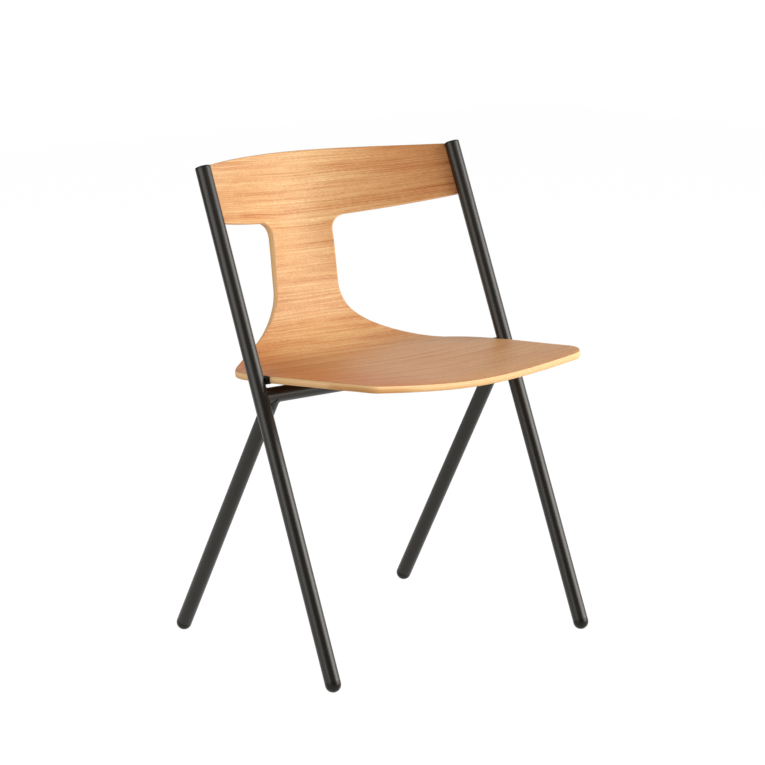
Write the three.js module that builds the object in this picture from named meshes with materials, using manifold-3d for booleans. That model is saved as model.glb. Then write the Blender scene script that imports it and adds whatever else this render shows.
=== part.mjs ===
// Stacking chair: a moulded plywood shell (seat, neck and back band in one) on a frame of round
// steel tube. Millimetres, +Z up. The sitter faces -Y, so the sitter's left side is +X.

import * as THREE from 'three';
import { mergeVertices } from 'three/addons/utils/BufferGeometryUtils.js';
import Module from 'manifold-3d';

const wasm = await Module();
wasm.setup();

// Clearances
const seatGap = 0.3; // left between pieces that are seated, welded or screwed together
const overrun = 2; // how far a cut runs past the face that it opens

// Frame
const tubeRadius = 12.5;
const tubeWall = 2;
const footSpan = 528.5; // between the side tubes' axes at the front feet
const topSpan = 521.1; // between the same axes at the upper ends
const frameHeight = 780; // height of the upper ends' centres
const sideTubeLean = THREE.MathUtils.degToRad(22.92); // rearward, from vertical
const rearFootReach = 421.4; // rear feet behind the front feet

// Glides and end plugs
const glideFlatRadius = 3.1; // flat that each glide stands on
const glideCollar = 3.5;
const glideStem = 20;
const plugFlange = 3;
const plugStem = 18;
const plugCrown = 0.6;
const rimRound = 1.2;

// Shell, measured along its centre line on the sitter's face
const shellThickness = 11;
const frontOverhang = 47.8; // front edge ahead of the front feet
const frontRimHeight = 463.9;
const lipRise = THREE.MathUtils.degToRad(7.24); // slope of the surface at the front edge
const lipRadius = 250;
const seatSlope = THREE.MathUtils.degToRad(2.26); // down towards the rear
const seatStraight = 299.3;
const bendRadius = 87.8;
const backLean = THREE.MathUtils.degToRad(13.77); // from vertical
const backTopDrop = 7; // the band's crown below the side tubes' upper ends
const bandHeight = 115.6; // along the surface at the centre
const bandTopDrop = 21.9; // the band's upper edge falls this much towards its ends
const bandLowRise = 5.5; // and its lower edge rises this much
const dishFront = 18; // rise of the seat's side over its centre at the front edge
const dishRear = 1; // the same where the rear bend starts
const dishCore = 132; // half width of the flatter middle
const dishFade = 60; // length of bend over which the dish runs out
const bowCore = 128; // half width of the flatter middle at the band's lower edge
const bowLead = 146; // length of neck over which the band's bow builds up
const contactTurn = THREE.MathUtils.degToRad(48); // where the band meets the tube, from inboard

// Shell outline, as half widths and places along the centre line
const seatSideGap = 3.3; // seat edge to side tube
const frontTaper = 7.2; // how much narrower each front corner is
const frontBow = 7.2; // the front edge bows forward this much at its centre
const cornerWidth = 35.2;
const cornerLength = 54.4;
const cornerHandleShares = [0.62, 0.47];
const widestPlace = 235;
const widestHandles = [60, 50, 67]; // lengths of the side curve's handles, front to rear
const wingPlace = 365.5; // where the sweep to the neck starts
const wingHalfWidth = 200.9;
const wingHandle = 50;
const sweepInset = 64.8; // the sweep's first handle, inwards and rearwards
const sweepRun = 49.8;
const neckPlaceShare = 0.554; // where the sweep meets the neck, from the wing to the band
const neckHandleShare = 0.266;
const neckHalfWidth = 65.4;
const neckTaper = 2.4;
const neckFillet = 23.8; // under the band

// Side blocks
const blockReach = 6.7; // inboard of the tube's surface
const blockDrop = 0.5; // below the seat's upper face
const blockSideShare = 1.04; // length to tube diameter
const blockRound = 2;

// Back tongues
const tongueThickness = 3;
const tongueDepth = 14; // inside the ply
const tongueHeight = 70;
const tongueRootShare = 0.6; // length beyond the ply, to tube radius, before it is coped
const backScrewSpacing = 40;
const backScrewInset = 8; // from the band's end

// Seat straps and fasteners
const strapPlace = 60; // from the middle of the chair
const strapWidth = 25;
const strapThickness = 2.5;
const strapEar = 22;
const strapBend = 2;
const strapScrewInset = 10; // from the ear's tip
const screwRadius = 3;
const headRadius = 5.5;
const headHeight = 3.2;
const socketRadius = 2.2;
const socketDepth = 1.8;
const insertRadius = 4.6;
const insertLength = 8;

// Fineness
const tubeSides = 32;
const smallSides = 16;
const socketSides = 6;
const glideSides = 24;
const roundSteps = 8;
const rimSteps = 3;
const bendSteps = 6;
const seatColumns = 18;
const wingColumns = 6;
const bandSteps = 5;
const cornerSteps = 8;
const sideSteps = 4;
const rearSteps = 7;
const sweepSteps = 12;
const neckSteps = 3;
const filletSteps = 5;
const probe = 0.5; // step used to find the shell's normal

// Materials
const finishes = {
  plywood: { color: 0xd9a873, roughness: 0.45, metalness: 0 },
  blackTube: { color: 0x1c1a18, roughness: 0.35, metalness: 0.3 },
  blackPlastic: { color: 0x151412, roughness: 0.55, metalness: 0 },
  steel: { color: 0x9a9a98, roughness: 0.35, metalness: 1 },
};

const chair = new THREE.Group();

// Every piece is a named mesh with a material of its own.
function addPiece(name, geometry, finish, parent = chair) {
  geometry.computeVertexNormals();
  const mesh = new THREE.Mesh(geometry, new THREE.MeshStandardMaterial(finishes[finish]));
  mesh.name = name;
  parent.add(mesh);
  return mesh;
}

// Turns a geometry with closed faces into a solid that can be joined or cut.
function solidOf(geometry) {
  const bare = geometry.clone();
  for (const name of Object.keys(bare.attributes)) {
    if (name !== 'position') bare.deleteAttribute(name);
  }
  const merged = mergeVertices(bare);
  const triangles = [];
  const { array } = merged.index;
  for (let i = 0; i < array.length; i += 3) {
    const [a, b, c] = [array[i], array[i + 1], array[i + 2]];
    if (a !== b && b !== c && c !== a) triangles.push(a, b, c);
  }
  const mesh = new wasm.Mesh({
    numProp: 3,
    vertProperties: new Float32Array(merged.attributes.position.array),
    triVerts: new Uint32Array(triangles),
  });
  return new wasm.Manifold(mesh);
}

function geometryOf(solid) {
  const mesh = solid.getMesh();
  const geometry = new THREE.BufferGeometry();
  geometry.setAttribute('position', new THREE.BufferAttribute(mesh.vertProperties, 3));
  geometry.setIndex(new THREE.BufferAttribute(mesh.triVerts, 1));
  return geometry;
}

function cut(geometry, cutters) {
  return geometryOf(cutters.reduce((solid, cutter) => solid.subtract(solidOf(cutter)), solidOf(geometry)));
}

// A round profile of [radius, height] points turned about the line from a point in a direction.
function turned(profile, origin, direction, sides) {
  const points = profile.map(([radius, height]) => new THREE.Vector2(radius, height));
  const geometry = new THREE.LatheGeometry(points, sides);
  const turn = new THREE.Quaternion().setFromUnitVectors(new THREE.Vector3(0, 1, 0), direction);
  return geometry.applyQuaternion(turn).translate(...origin.toArray());
}

function pipe(outer, inner, start, end, sides = tubeSides) {
  const length = start.distanceTo(end);
  const direction = end.clone().sub(start).normalize();
  const profile = [[inner, 0], [outer, 0], [outer, length], [inner, length], [inner, 0]];
  return turned(profile, start, direction, sides);
}

function rod(radius, start, end, sides = tubeSides) {
  const length = start.distanceTo(end);
  const direction = end.clone().sub(start).normalize();
  return turned([[0, 0], [radius, 0], [radius, length], [0, length]], start, direction, sides);
}

// A box given by its size and centre in a frame of three directions.
function boxIn(frame, size, centre) {
  const basis = new THREE.Matrix4().makeBasis(...frame.axes);
  return new THREE.BoxGeometry(...size)
    .translate(...centre)
    .applyMatrix4(basis)
    .translate(...frame.origin.toArray());
}

function quarterRound(centreRadius, centreHeight, radius, from, steps) {
  const points = [];
  for (let i = 0; i <= steps; i += 1) {
    const angle = from + (i / steps) * (Math.PI / 2);
    points.push([centreRadius + radius * Math.cos(angle), centreHeight + radius * Math.sin(angle)]);
  }
  return points;
}

// Side tubes: the axis of the left one. The right one is its mirror image.
const footHeight = Math.sqrt(tubeRadius ** 2 - glideFlatRadius ** 2);
const sideFoot = new THREE.Vector3(footSpan / 2, 0, footHeight);
const sideTop = new THREE.Vector3(
  topSpan / 2,
  (frameHeight - footHeight) * Math.tan(sideTubeLean),
  frameHeight,
);
const sideDirection = sideTop.clone().sub(sideFoot).normalize();

function sideAxisAt(height) {
  return sideFoot.clone().addScaledVector(sideDirection, (height - footHeight) / sideDirection.z);
}

function mirrored(vector, side) {
  return new THREE.Vector3(side * vector.x, vector.y, vector.z);
}

// Centre line of the shell's upper face: lip arc, straight seat, rear bend, straight back.
const lipLength = lipRadius * (lipRise + seatSlope);
const lipEnd = {
  y: -frontOverhang + lipRadius * (Math.sin(lipRise) + Math.sin(seatSlope)),
  z: frontRimHeight + lipRadius * (Math.cos(seatSlope) - Math.cos(lipRise)),
};
const bendStart = lipLength + seatStraight;
const bendCentre = {
  y: lipEnd.y + seatStraight * Math.cos(seatSlope) + bendRadius * Math.sin(seatSlope),
  z: lipEnd.z - seatStraight * Math.sin(seatSlope) + bendRadius * Math.cos(seatSlope),
};
const backAngle = Math.PI / 2 - backLean;
const bendEnd = bendStart + bendRadius * (seatSlope + backAngle);
const backFoot = {
  y: bendCentre.y + bendRadius * Math.sin(backAngle),
  z: bendCentre.z - bendRadius * Math.cos(backAngle),
};
const backTop = bendEnd + (frameHeight - backTopDrop - backFoot.z) / Math.sin(backAngle);
const bandStart = backTop - bandHeight;

function centreLine(s) {
  if (s < lipLength) {
    const angle = lipRise - s / lipRadius;
    return {
      angle,
      y: -frontOverhang + lipRadius * (Math.sin(lipRise) - Math.sin(angle)),
      z: frontRimHeight + lipRadius * (Math.cos(angle) - Math.cos(lipRise)),
    };
  }
  if (s < bendStart) {
    const run = s - lipLength;
    return {
      angle: -seatSlope,
      y: lipEnd.y + run * Math.cos(seatSlope),
      z: lipEnd.z - run * Math.sin(seatSlope),
    };
  }
  if (s < bendEnd) {
    const angle = (s - bendStart) / bendRadius - seatSlope;
    return {
      angle,
      y: bendCentre.y + bendRadius * Math.sin(angle),
      z: bendCentre.z - bendRadius * Math.cos(angle),
    };
  }
  const run = s - bendEnd;
  return {
    angle: backAngle,
    y: backFoot.y + run * Math.cos(backAngle),
    z: backFoot.z + run * Math.sin(backAngle),
  };
}

// The band's ends lie on a line along each side tube, a gap off its inner rear quarter.
const inboard = new THREE.Vector3(-1, 0, 0).addScaledVector(sideDirection, sideDirection.x).normalize();
const rearward = new THREE.Vector3().crossVectors(sideDirection, inboard).negate();
const contactRadius = tubeRadius + seatGap;
const contactFoot = sideFoot.clone()
  .addScaledVector(inboard, contactRadius * Math.cos(contactTurn))
  .addScaledVector(rearward, contactRadius * Math.sin(contactTurn));

function bandEnd(s) {
  const { angle, y, z } = centreLine(s);
  const dy = y - contactFoot.y;
  const dz = z - contactFoot.z;
  const determinant = -sideDirection.y * Math.cos(angle) - sideDirection.z * Math.sin(angle);
  const along = (-dy * Math.cos(angle) - dz * Math.sin(angle)) / determinant;
  return {
    depth: (sideDirection.y * dz - sideDirection.z * dy) / determinant,
    x: contactFoot.x + along * sideDirection.x,
  };
}

// Depth of a shallow trough whose middle is flat and whose sides rise straight.
function trough(x, core) {
  return Math.hypot(x, core) - core;
}

const bandHalf = bandEnd(bandStart).x;
const lowEnd = bandEnd(bandStart);
const highEnd = bandEnd(backTop - bandTopDrop);
const topBowRadius = (highEnd.x ** 2 + highEnd.depth ** 2) / (2 * highEnd.depth);

function bandTopAt(x) {
  return backTop - bandTopDrop * (x / bandHalf) ** 2;
}

function bandLowAt(x) {
  return bandStart + bandLowRise * (x / bandHalf) ** 2;
}

// How far the surface stands off its centre line, towards the sitter.
function seatDish(x, s) {
  const front = dishFront + (dishRear - dishFront) * (s / bendStart);
  const rear = dishRear * THREE.MathUtils.clamp(1 - (s - bendStart) / dishFade, 0, 1);
  const depth = s < bendStart ? front : rear;
  return (depth * trough(x, dishCore)) / trough(seatHalfWidth, dishCore);
}

function backBow(x, s) {
  const low = (lowEnd.depth * trough(x, bowCore)) / trough(lowEnd.x, bowCore);
  const high = topBowRadius - Math.sqrt(topBowRadius ** 2 - x ** 2);
  const slope = (high - low) / (bandTopAt(x) - bandStart);
  if (s > bandStart) return low + slope * (s - bandStart);
  // On the neck the bow builds up as a cubic that runs on into the band.
  const t = THREE.MathUtils.clamp((s - bandStart + bowLead) / bowLead, 0, 1);
  return low * (3 - 2 * t) * t ** 2 + slope * bowLead * (t - 1) * t ** 2;
}

function upperFace(x, s) {
  const { angle, y, z } = centreLine(s);
  const rise = seatDish(x, s) + backBow(x, s);
  return new THREE.Vector3(x, y - rise * Math.sin(angle), z + rise * Math.cos(angle));
}

function surfaceNormal(x, s) {
  const across = upperFace(x + probe, s).sub(upperFace(x - probe, s));
  const along = upperFace(x, s + probe).sub(upperFace(x, s - probe));
  return across.cross(along).normalize();
}

function insidePly(x, s, depth) {
  return upperFace(x, s).addScaledVector(surfaceNormal(x, s), -depth);
}

// Where the side tubes pass the seat, and how wide it can be there
const seatCrossing = sideAxisAt(lipEnd.z);
const seatHalfWidth = seatCrossing.x - tubeRadius - seatSideGap;
const frontHalfWidth = seatHalfWidth - frontTaper;

function bezierRows(points, steps) {
  const [a, b, c, d] = points.map(([x, s]) => new THREE.Vector2(x, s));
  return new THREE.CubicBezierCurve(a, b, c, d).getPoints(steps).map((point) => [point.x, point.y]);
}

// Half widths of the outline and their places, from the front corners to the band.
const cornerStart = frontHalfWidth - cornerWidth;
const cornerEnd = frontBow + cornerLength;
const cornerSlope = (2 * frontBow) / cornerStart;
const cornerHandle = cornerWidth * cornerHandleShares[0];
const neckPlace = THREE.MathUtils.lerp(wingPlace, bandStart, neckPlaceShare);
const neckHandle = neckHandleShare * (bandStart - wingPlace);
const neckTopHalf = neckHalfWidth - neckTaper;
const neckEnd = bandLowAt(neckTopHalf + neckFillet) - neckFillet;
const sweepUnit = 1 / Math.hypot(sweepInset, sweepRun);

const corner = bezierRows([
  [cornerStart, frontBow],
  [cornerStart + cornerHandle, frontBow + cornerSlope * cornerHandle],
  [frontHalfWidth, cornerEnd - cornerLength * cornerHandleShares[1]],
  [frontHalfWidth, cornerEnd],
], cornerSteps);
const side = bezierRows([
  [frontHalfWidth, cornerEnd],
  [frontHalfWidth, cornerEnd + widestHandles[0]],
  [seatHalfWidth, widestPlace - widestHandles[1]],
  [seatHalfWidth, widestPlace],
], sideSteps);
const rear = bezierRows([
  [seatHalfWidth, widestPlace],
  [seatHalfWidth, widestPlace + widestHandles[2]],
  [
    wingHalfWidth + wingHandle * sweepInset * sweepUnit,
    wingPlace - wingHandle * sweepRun * sweepUnit,
  ],
  [wingHalfWidth, wingPlace],
], rearSteps);
const sweep = bezierRows([
  [wingHalfWidth, wingPlace],
  [wingHalfWidth - sweepInset, wingPlace + sweepRun],
  [neckHalfWidth, neckPlace - neckHandle],
  [neckHalfWidth, neckPlace],
], sweepSteps);
const neck = [];
for (let i = 1; i <= neckSteps; i += 1) {
  const share = i / neckSteps;
  neck.push([
    THREE.MathUtils.lerp(neckHalfWidth, neckTopHalf, share),
    THREE.MathUtils.lerp(neckPlace, neckEnd, share),
  ]);
}
const fillet = [];
for (let i = 1; i <= filletSteps; i += 1) {
  const angle = ((i / filletSteps) * Math.PI) / 2;
  fillet.push([
    neckTopHalf + neckFillet * (1 - Math.cos(angle)),
    neckEnd + neckFillet * Math.sin(angle),
  ]);
}

// Rows of points across the shell. The first ones curve with the front edge.
function evenRow(halfWidth, placeAt) {
  const row = [];
  for (let j = 0; j <= seatColumns; j += 1) {
    const x = halfWidth * ((2 * j) / seatColumns - 1);
    row.push([x, placeAt(x)]);
  }
  return row;
}

function shellRows() {
  const rows = corner.map(([halfWidth, place]) => {
    const centre = ((place - frontBow) * cornerEnd) / cornerLength;
    return evenRow(halfWidth, (x) => centre + (place - centre) * (x / halfWidth) ** 2);
  });
  for (const [halfWidth, place] of [...side.slice(1), ...rear.slice(1), ...sweep.slice(1), ...neck]) {
    rows.push(evenRow(halfWidth, () => place));
  }
  for (const [halfWidth, place] of fillet.slice(0, -1)) {
    rows.push(evenRow(halfWidth, () => place));
  }
  return rows;
}

function bandRows() {
  const [rootHalf] = fillet[fillet.length - 1];
  const rows = [];
  for (let i = 0; i <= bandSteps; i += 1) {
    const share = i / bandSteps;
    const placeAt = (x) => THREE.MathUtils.lerp(bandLowAt(x), bandTopAt(x), share);
    const endX = bandEnd(placeAt(bandHalf)).x;
    const wing = [];
    for (let k = 1; k <= wingColumns; k += 1) {
      const x = THREE.MathUtils.lerp(rootHalf, endX, k / wingColumns);
      wing.push([x, placeAt(x)]);
    }
    const mirroredWing = wing.map(([x, place]) => [-x, place]).reverse();
    rows.push([...mirroredWing, ...evenRow(rootHalf, placeAt), ...wing]);
  }
  return rows;
}

// A closed shell from rows of surface points: both faces, and a wall along the open edges.
function plyGeometry() {
  const upper = [];
  const lower = [];
  const faces = [];
  const addRow = (row) => row.map(([x, s]) => {
    upper.push(upperFace(x, s));
    lower.push(insidePly(x, s, shellThickness));
    return upper.length - 1;
  });
  const joinRows = (first, second) => {
    const offset = (second.length - first.length) / 2;
    for (let j = 0; j + 1 < first.length; j += 1) {
      const [a, b, c, d] = [first[j], first[j + 1], second[j + 1 + offset], second[j + offset]];
      if (2 * j < first.length - 1) faces.push([a, b, d], [b, c, d]);
      else faces.push([a, b, c], [a, c, d]);
    }
  };
  const rows = [...shellRows(), ...bandRows()].map(addRow);
  for (let i = 1; i < rows.length; i += 1) joinRows(rows[i - 1], rows[i]);

  const count = upper.length;
  const index = [];
  const open = new Map();
  for (const [a, b, c] of faces) {
    index.push(a, b, c, a + count, c + count, b + count);
    for (const [from, to] of [[a, b], [b, c], [c, a]]) {
      if (!open.delete(`${to},${from}`)) open.set(`${from},${to}`, [from, to]);
    }
  }
  for (const [from, to] of open.values()) {
    index.push(to, from, from + count, to, from + count, to + count);
  }
  const geometry = new THREE.BufferGeometry().setFromPoints([...upper, ...lower]);
  geometry.setIndex(index);
  return geometry;
}

// Cross rail: on the side tubes' axes, a gap under the middle of the seat.
const railDrop = shellThickness + seatGap + tubeRadius;
const railLineFoot = {
  y: lipEnd.y - railDrop * Math.sin(seatSlope),
  z: lipEnd.z - railDrop * Math.cos(seatSlope),
};
const railRun = ((railLineFoot.z - footHeight) * Math.tan(sideTubeLean) - railLineFoot.y)
  / (Math.cos(seatSlope) + Math.sin(seatSlope) * Math.tan(sideTubeLean));
const railCentre = new THREE.Vector3(
  0,
  railLineFoot.y + railRun * Math.cos(seatSlope),
  railLineFoot.z - railRun * Math.sin(seatSlope),
);
const railPlace = lipLength + railRun;
const railEnd = sideAxisAt(railCentre.z);

// Side block: its height follows the seat's edge beside the tube.
const blockPlace = lipLength + (seatCrossing.y - lipEnd.y) / Math.cos(seatSlope);
const blockTop = upperFace(seatHalfWidth, blockPlace).z - blockDrop;
const blockFoot = insidePly(seatHalfWidth, blockPlace, shellThickness).z;
const blockLength = 2 * tubeRadius * blockSideShare;
const blockCentre = sideAxisAt((blockTop + blockFoot) / 2);
const blockInner = blockCentre.x - tubeRadius - blockReach;

function sideBlock(side, tubeCutter) {
  const half = blockLength / 2 - blockRound;
  const [low, high] = [blockFoot + blockRound, blockTop - blockRound];
  const shape = new THREE.Shape();
  shape.absarc(half, high, blockRound, 0, Math.PI / 2, false);
  shape.absarc(-half, high, blockRound, Math.PI / 2, Math.PI, false);
  shape.absarc(-half, low, blockRound, Math.PI, 1.5 * Math.PI, false);
  shape.absarc(half, low, blockRound, 1.5 * Math.PI, 2 * Math.PI, false);
  const depth = blockCentre.x - blockInner;
  const options = { depth, bevelEnabled: false, curveSegments: rimSteps };
  const geometry = new THREE.ExtrudeGeometry(shape, options);
  // The shape lies in the YZ plane and grows along +X.
  geometry.applyMatrix4(new THREE.Matrix4().makeBasis(
    new THREE.Vector3(0, 1, 0),
    new THREE.Vector3(0, 0, 1),
    new THREE.Vector3(1, 0, 0),
  ));
  geometry.translate(side > 0 ? blockInner : -blockCentre.x, blockCentre.y, 0);
  return cut(geometry, [tubeCutter]);
}

function blockNotch(side) {
  const width = blockReach + tubeRadius;
  const size = [width, blockLength + 2 * seatGap, 2 * (blockTop - blockFoot)];
  const centre = [
    side * (blockInner - seatGap + width / 2),
    blockCentre.y,
    (blockTop + blockFoot) / 2,
  ];
  return new THREE.BoxGeometry(...size).translate(...centre);
}

// Back tongue: a flat steel tongue from the tube into a slot in the band's end.
const tonguePlace = (bandLowAt(bandHalf) + bandTopAt(bandHalf)) / 2;

function tongueFrame(side) {
  const endX = bandEnd(tonguePlace).x;
  const up = sideDirection.clone();
  const outward = upperFace(endX + probe, tonguePlace).sub(upperFace(endX - probe, tonguePlace));
  outward.addScaledVector(up, -outward.dot(up)).normalize();
  const behind = new THREE.Vector3().crossVectors(up, outward);
  const origin = mirrored(insidePly(endX, tonguePlace, shellThickness / 2), side);
  const [first, second] = [mirrored(outward, side), mirrored(up, side)];
  const third = new THREE.Vector3().crossVectors(first, second);
  return { origin, axes: [first, second, third], rear: mirrored(behind, side) };
}

function tongueBox(frame, clearance, rootLength) {
  const length = tongueDepth + clearance + rootLength;
  return boxIn(
    frame,
    [length, tongueHeight + 2 * clearance, tongueThickness + 2 * clearance],
    [rootLength - length / 2, 0, 0],
  );
}

function backScrewFoot(frame, step) {
  return frame.origin.clone()
    .addScaledVector(frame.axes[0], -backScrewInset)
    .addScaledVector(frame.axes[1], (step * backScrewSpacing) / 2);
}

// Screws and inserts stand along a direction, with the screw's seat at height zero.
function screw(seat, direction, shank) {
  const dome = headHeight / 2;
  const profile = [
    [0, -shank],
    [screwRadius, -shank],
    [screwRadius, 0],
    [headRadius, 0],
    [headRadius, dome],
    [headRadius - dome, headHeight],
    [0, headHeight],
  ];
  const body = turned(profile, seat, direction, smallSides);
  const top = seat.clone().addScaledVector(direction, headHeight + overrun);
  const bottom = seat.clone().addScaledVector(direction, headHeight - socketDepth);
  return cut(body, [rod(socketRadius, bottom, top, socketSides)]);
}

// Seat strap: a bent plate that hugs the rail from below, with an ear at each side.
const strapInner = tubeRadius + seatGap;
const strapSide = strapPlace - strapWidth / 2;
const strapRise = railDrop - shellThickness - seatGap + seatDish(strapSide, railPlace);
const strapOut = strapInner + strapThickness + strapBend + strapEar;
const strapScrewPlace = strapOut - strapScrewInset;
const seatUp = new THREE.Vector3(0, Math.sin(seatSlope), Math.cos(seatSlope));
const seatRearward = new THREE.Vector3(0, Math.cos(seatSlope), -Math.sin(seatSlope));

function strapShape() {
  const top = strapRise;
  const under = strapRise - strapThickness;
  const outer = strapInner + strapThickness;
  const crown = strapBend + strapThickness;
  const shape = new THREE.Shape();
  shape.moveTo(strapOut, under);
  shape.lineTo(strapOut, top);
  shape.absarc(strapInner + crown, top - crown, crown, Math.PI / 2, Math.PI, false);
  shape.absarc(0, 0, strapInner, 0, Math.PI, true);
  shape.absarc(-strapInner - crown, top - crown, crown, 0, Math.PI / 2, false);
  shape.lineTo(-strapOut, top);
  shape.lineTo(-strapOut, under);
  shape.absarc(-outer - strapBend, under - strapBend, strapBend, Math.PI / 2, 0, true);
  shape.absarc(0, 0, outer, Math.PI, 2 * Math.PI, false);
  shape.absarc(outer + strapBend, under - strapBend, strapBend, Math.PI, Math.PI / 2, true);
  shape.closePath();
  return shape;
}

function strapScrewSeat(side, step) {
  return railCentre.clone()
    .addScaledVector(new THREE.Vector3(1, 0, 0), side * strapPlace)
    .addScaledVector(seatUp, strapRise - strapThickness - seatGap)
    .addScaledVector(seatRearward, step * strapScrewPlace);
}

function insertMouth(side, step) {
  const x = side * strapPlace;
  const s = railPlace + step * strapScrewPlace;
  return insidePly(x, s, shellThickness);
}

function seatStrap(side) {
  const options = { depth: strapWidth, bevelEnabled: false, curveSegments: bendSteps };
  const geometry = new THREE.ExtrudeGeometry(strapShape(), options);
  geometry.translate(0, 0, side * strapPlace - strapWidth / 2);
  geometry.applyMatrix4(new THREE.Matrix4().makeBasis(
    seatRearward,
    seatUp,
    new THREE.Vector3(1, 0, 0),
  ));
  geometry.translate(...railCentre.toArray());
  const holes = [-1, 1].map((step) => {
    const seat = strapScrewSeat(side, step);
    const low = seat.clone().addScaledVector(seatUp, -overrun);
    const high = seat.clone().addScaledVector(seatUp, strapThickness + seatGap + overrun);
    return rod(screwRadius + seatGap, low, high, smallSides);
  });
  return cut(geometry, holes);
}

// Glide: a domed foot with a stem in the tube, cut flat where it stands.
function glide(foot, direction) {
  const stemRadius = tubeRadius - tubeWall - seatGap;
  const profile = [
    ...quarterRound(0, 0, tubeRadius, -Math.PI / 2, roundSteps),
    [tubeRadius, glideCollar],
    [stemRadius, glideCollar],
    [stemRadius, glideCollar + glideStem],
    [0, glideCollar + glideStem],
  ];
  profile[0][0] = 0;
  const width = 4 * tubeRadius;
  const floor = new THREE.BoxGeometry(width, width, width).translate(foot.x, foot.y, -width / 2);
  return cut(turned(profile, foot, direction, glideSides), [floor]);
}

// Plug: a flanged cap on the tube's upper end, crowned a little.
function topPlug(end, direction) {
  const stemRadius = tubeRadius - tubeWall - seatGap;
  const profile = [
    [0, -plugStem],
    [stemRadius, -plugStem],
    [stemRadius, seatGap],
    [tubeRadius, seatGap],
    ...quarterRound(tubeRadius - rimRound, plugFlange - rimRound, rimRound, 0, rimSteps),
    [0, plugFlange + plugCrown],
  ];
  return turned(profile, end, direction, tubeSides);
}

// Assembly
const innerRadius = tubeRadius - tubeWall;
const tubeStart = glideCollar + seatGap;
const legOffset = 2 * tubeRadius + seatGap;
const shellCutters = [];
const railCutters = [];

for (const [name, side] of [['left', 1], ['right', -1]]) {
  const foot = mirrored(sideFoot, side);
  const direction = mirrored(sideDirection, side);
  const top = mirrored(sideTop, side).addScaledVector(direction, -plugFlange);
  const start = foot.clone().addScaledVector(direction, tubeStart);
  const clearTube = rod(tubeRadius + seatGap, start, top);
  railCutters.push(clearTube);
  addPiece(`side_tube_${name}`, pipe(tubeRadius, innerRadius, start, top), 'blackTube');
  addPiece(`top_plug_${name}`, topPlug(top, direction), 'blackPlastic');
  addPiece(`glide_front_${name}`, glide(foot, direction), 'blackPlastic');

  // Rear leg: beside the side tube, from the rail's axis to the rear foot, coped round the rail.
  const rearFoot = new THREE.Vector3(side * (footSpan / 2 - legOffset), rearFootReach, footHeight);
  const legTop = new THREE.Vector3(side * (railEnd.x - legOffset), railCentre.y, railCentre.z);
  const legDirection = legTop.clone().sub(rearFoot).normalize();
  const legStart = rearFoot.clone().addScaledVector(legDirection, tubeStart);
  const railHalf = new THREE.Vector3(railEnd.x, 0, 0);
  const clearRail = rod(
    tubeRadius + seatGap,
    railCentre.clone().sub(railHalf),
    railCentre.clone().add(railHalf),
  );
  const leg = pipe(tubeRadius, innerRadius, legStart, legTop);
  addPiece(`rear_leg_${name}`, cut(leg, [clearRail]), 'blackTube');
  addPiece(`glide_rear_${name}`, glide(rearFoot, legDirection), 'blackPlastic');

  // Side block and its notch in the seat's edge
  addPiece(`side_block_${name}`, sideBlock(side, clearTube), 'blackPlastic');
  shellCutters.push(blockNotch(side));

  // Back tongue, its slot, and the two screws behind it
  const frame = tongueFrame(side);
  const screwBodies = [];
  for (const [level, step] of [['upper', 1], ['lower', -1]]) {
    const screwFoot = backScrewFoot(frame, step);
    const seatHeight = shellThickness / 2 + 2 * seatGap;
    const seat = screwFoot.clone().addScaledVector(frame.rear, seatHeight);
    const outer = seat.clone().addScaledVector(frame.rear, overrun);
    const inner = screwFoot.clone().addScaledVector(frame.rear, -tongueThickness);
    screwBodies.push(rod(screwRadius + seatGap, inner, outer, smallSides));
    shellCutters.push(rod(screwRadius + seatGap, screwFoot, outer, smallSides));
    const backScrew = screw(seat, frame.rear, seatHeight + tongueThickness / 2);
    addPiece(`back_screw_${level}_${name}`, backScrew, 'steel');
  }
  const root = tubeRadius * tongueRootShare;
  const tongue = tongueBox(frame, 0, root);
  addPiece(`back_tongue_${name}`, cut(tongue, [clearTube, ...screwBodies]), 'blackTube');
  shellCutters.push(tongueBox(frame, seatGap, root));

  // Seat strap, its screws and their inserts in the ply
  addPiece(`seat_strap_${name}`, seatStrap(side), 'blackTube');
  for (const [level, step] of [['front', -1], ['rear', 1]]) {
    const seat = strapScrewSeat(side, step);
    const down = seatUp.clone().negate();
    const mouthHeight = insertMouth(side, step).sub(seat).dot(seatUp);
    const shank = mouthHeight + insertLength - seatGap;
    addPiece(`seat_screw_${level}_${name}`, screw(seat, down, shank), 'steel');
    const bore = screwRadius + seatGap;
    const insertFoot = seat.clone().addScaledVector(seatUp, mouthHeight);
    const insertTop = seat.clone().addScaledVector(seatUp, mouthHeight + insertLength);
    const insert = pipe(insertRadius, bore, insertFoot, insertTop, smallSides);
    addPiece(`seat_insert_${level}_${name}`, insert, 'steel');
    const holeFoot = insertFoot.clone().addScaledVector(seatUp, -overrun);
    const holeTop = insertTop.clone().addScaledVector(seatUp, seatGap);
    shellCutters.push(rod(insertRadius + seatGap, holeFoot, holeTop, smallSides));
  }
}

const rail = pipe(
  tubeRadius,
  innerRadius,
  new THREE.Vector3(-railEnd.x, railCentre.y, railCentre.z),
  new THREE.Vector3(railEnd.x, railCentre.y, railCentre.z),
);
addPiece('seat_rail', cut(rail, railCutters), 'blackTube');
addPiece('seat_back_shell', cut(plyGeometry(), shellCutters), 'plywood');

// The origin is on the floor under the middle of the chair.
const rearmost = insidePly(0, backTop, shellThickness).y;
chair.position.y = (frontOverhang - rearmost) / 2;

export default chair;
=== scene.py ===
"""Looks of the stacking chair: a moulded plywood shell on a frame of black round tube.

Everything is in metres in the chair's own frame: the sitter faces -Y and the floor is at z = 0.
Places along the shell are given as x, across, and s, along its centre line from the front edge.
"""

import math
from contextlib import contextmanager

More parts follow.
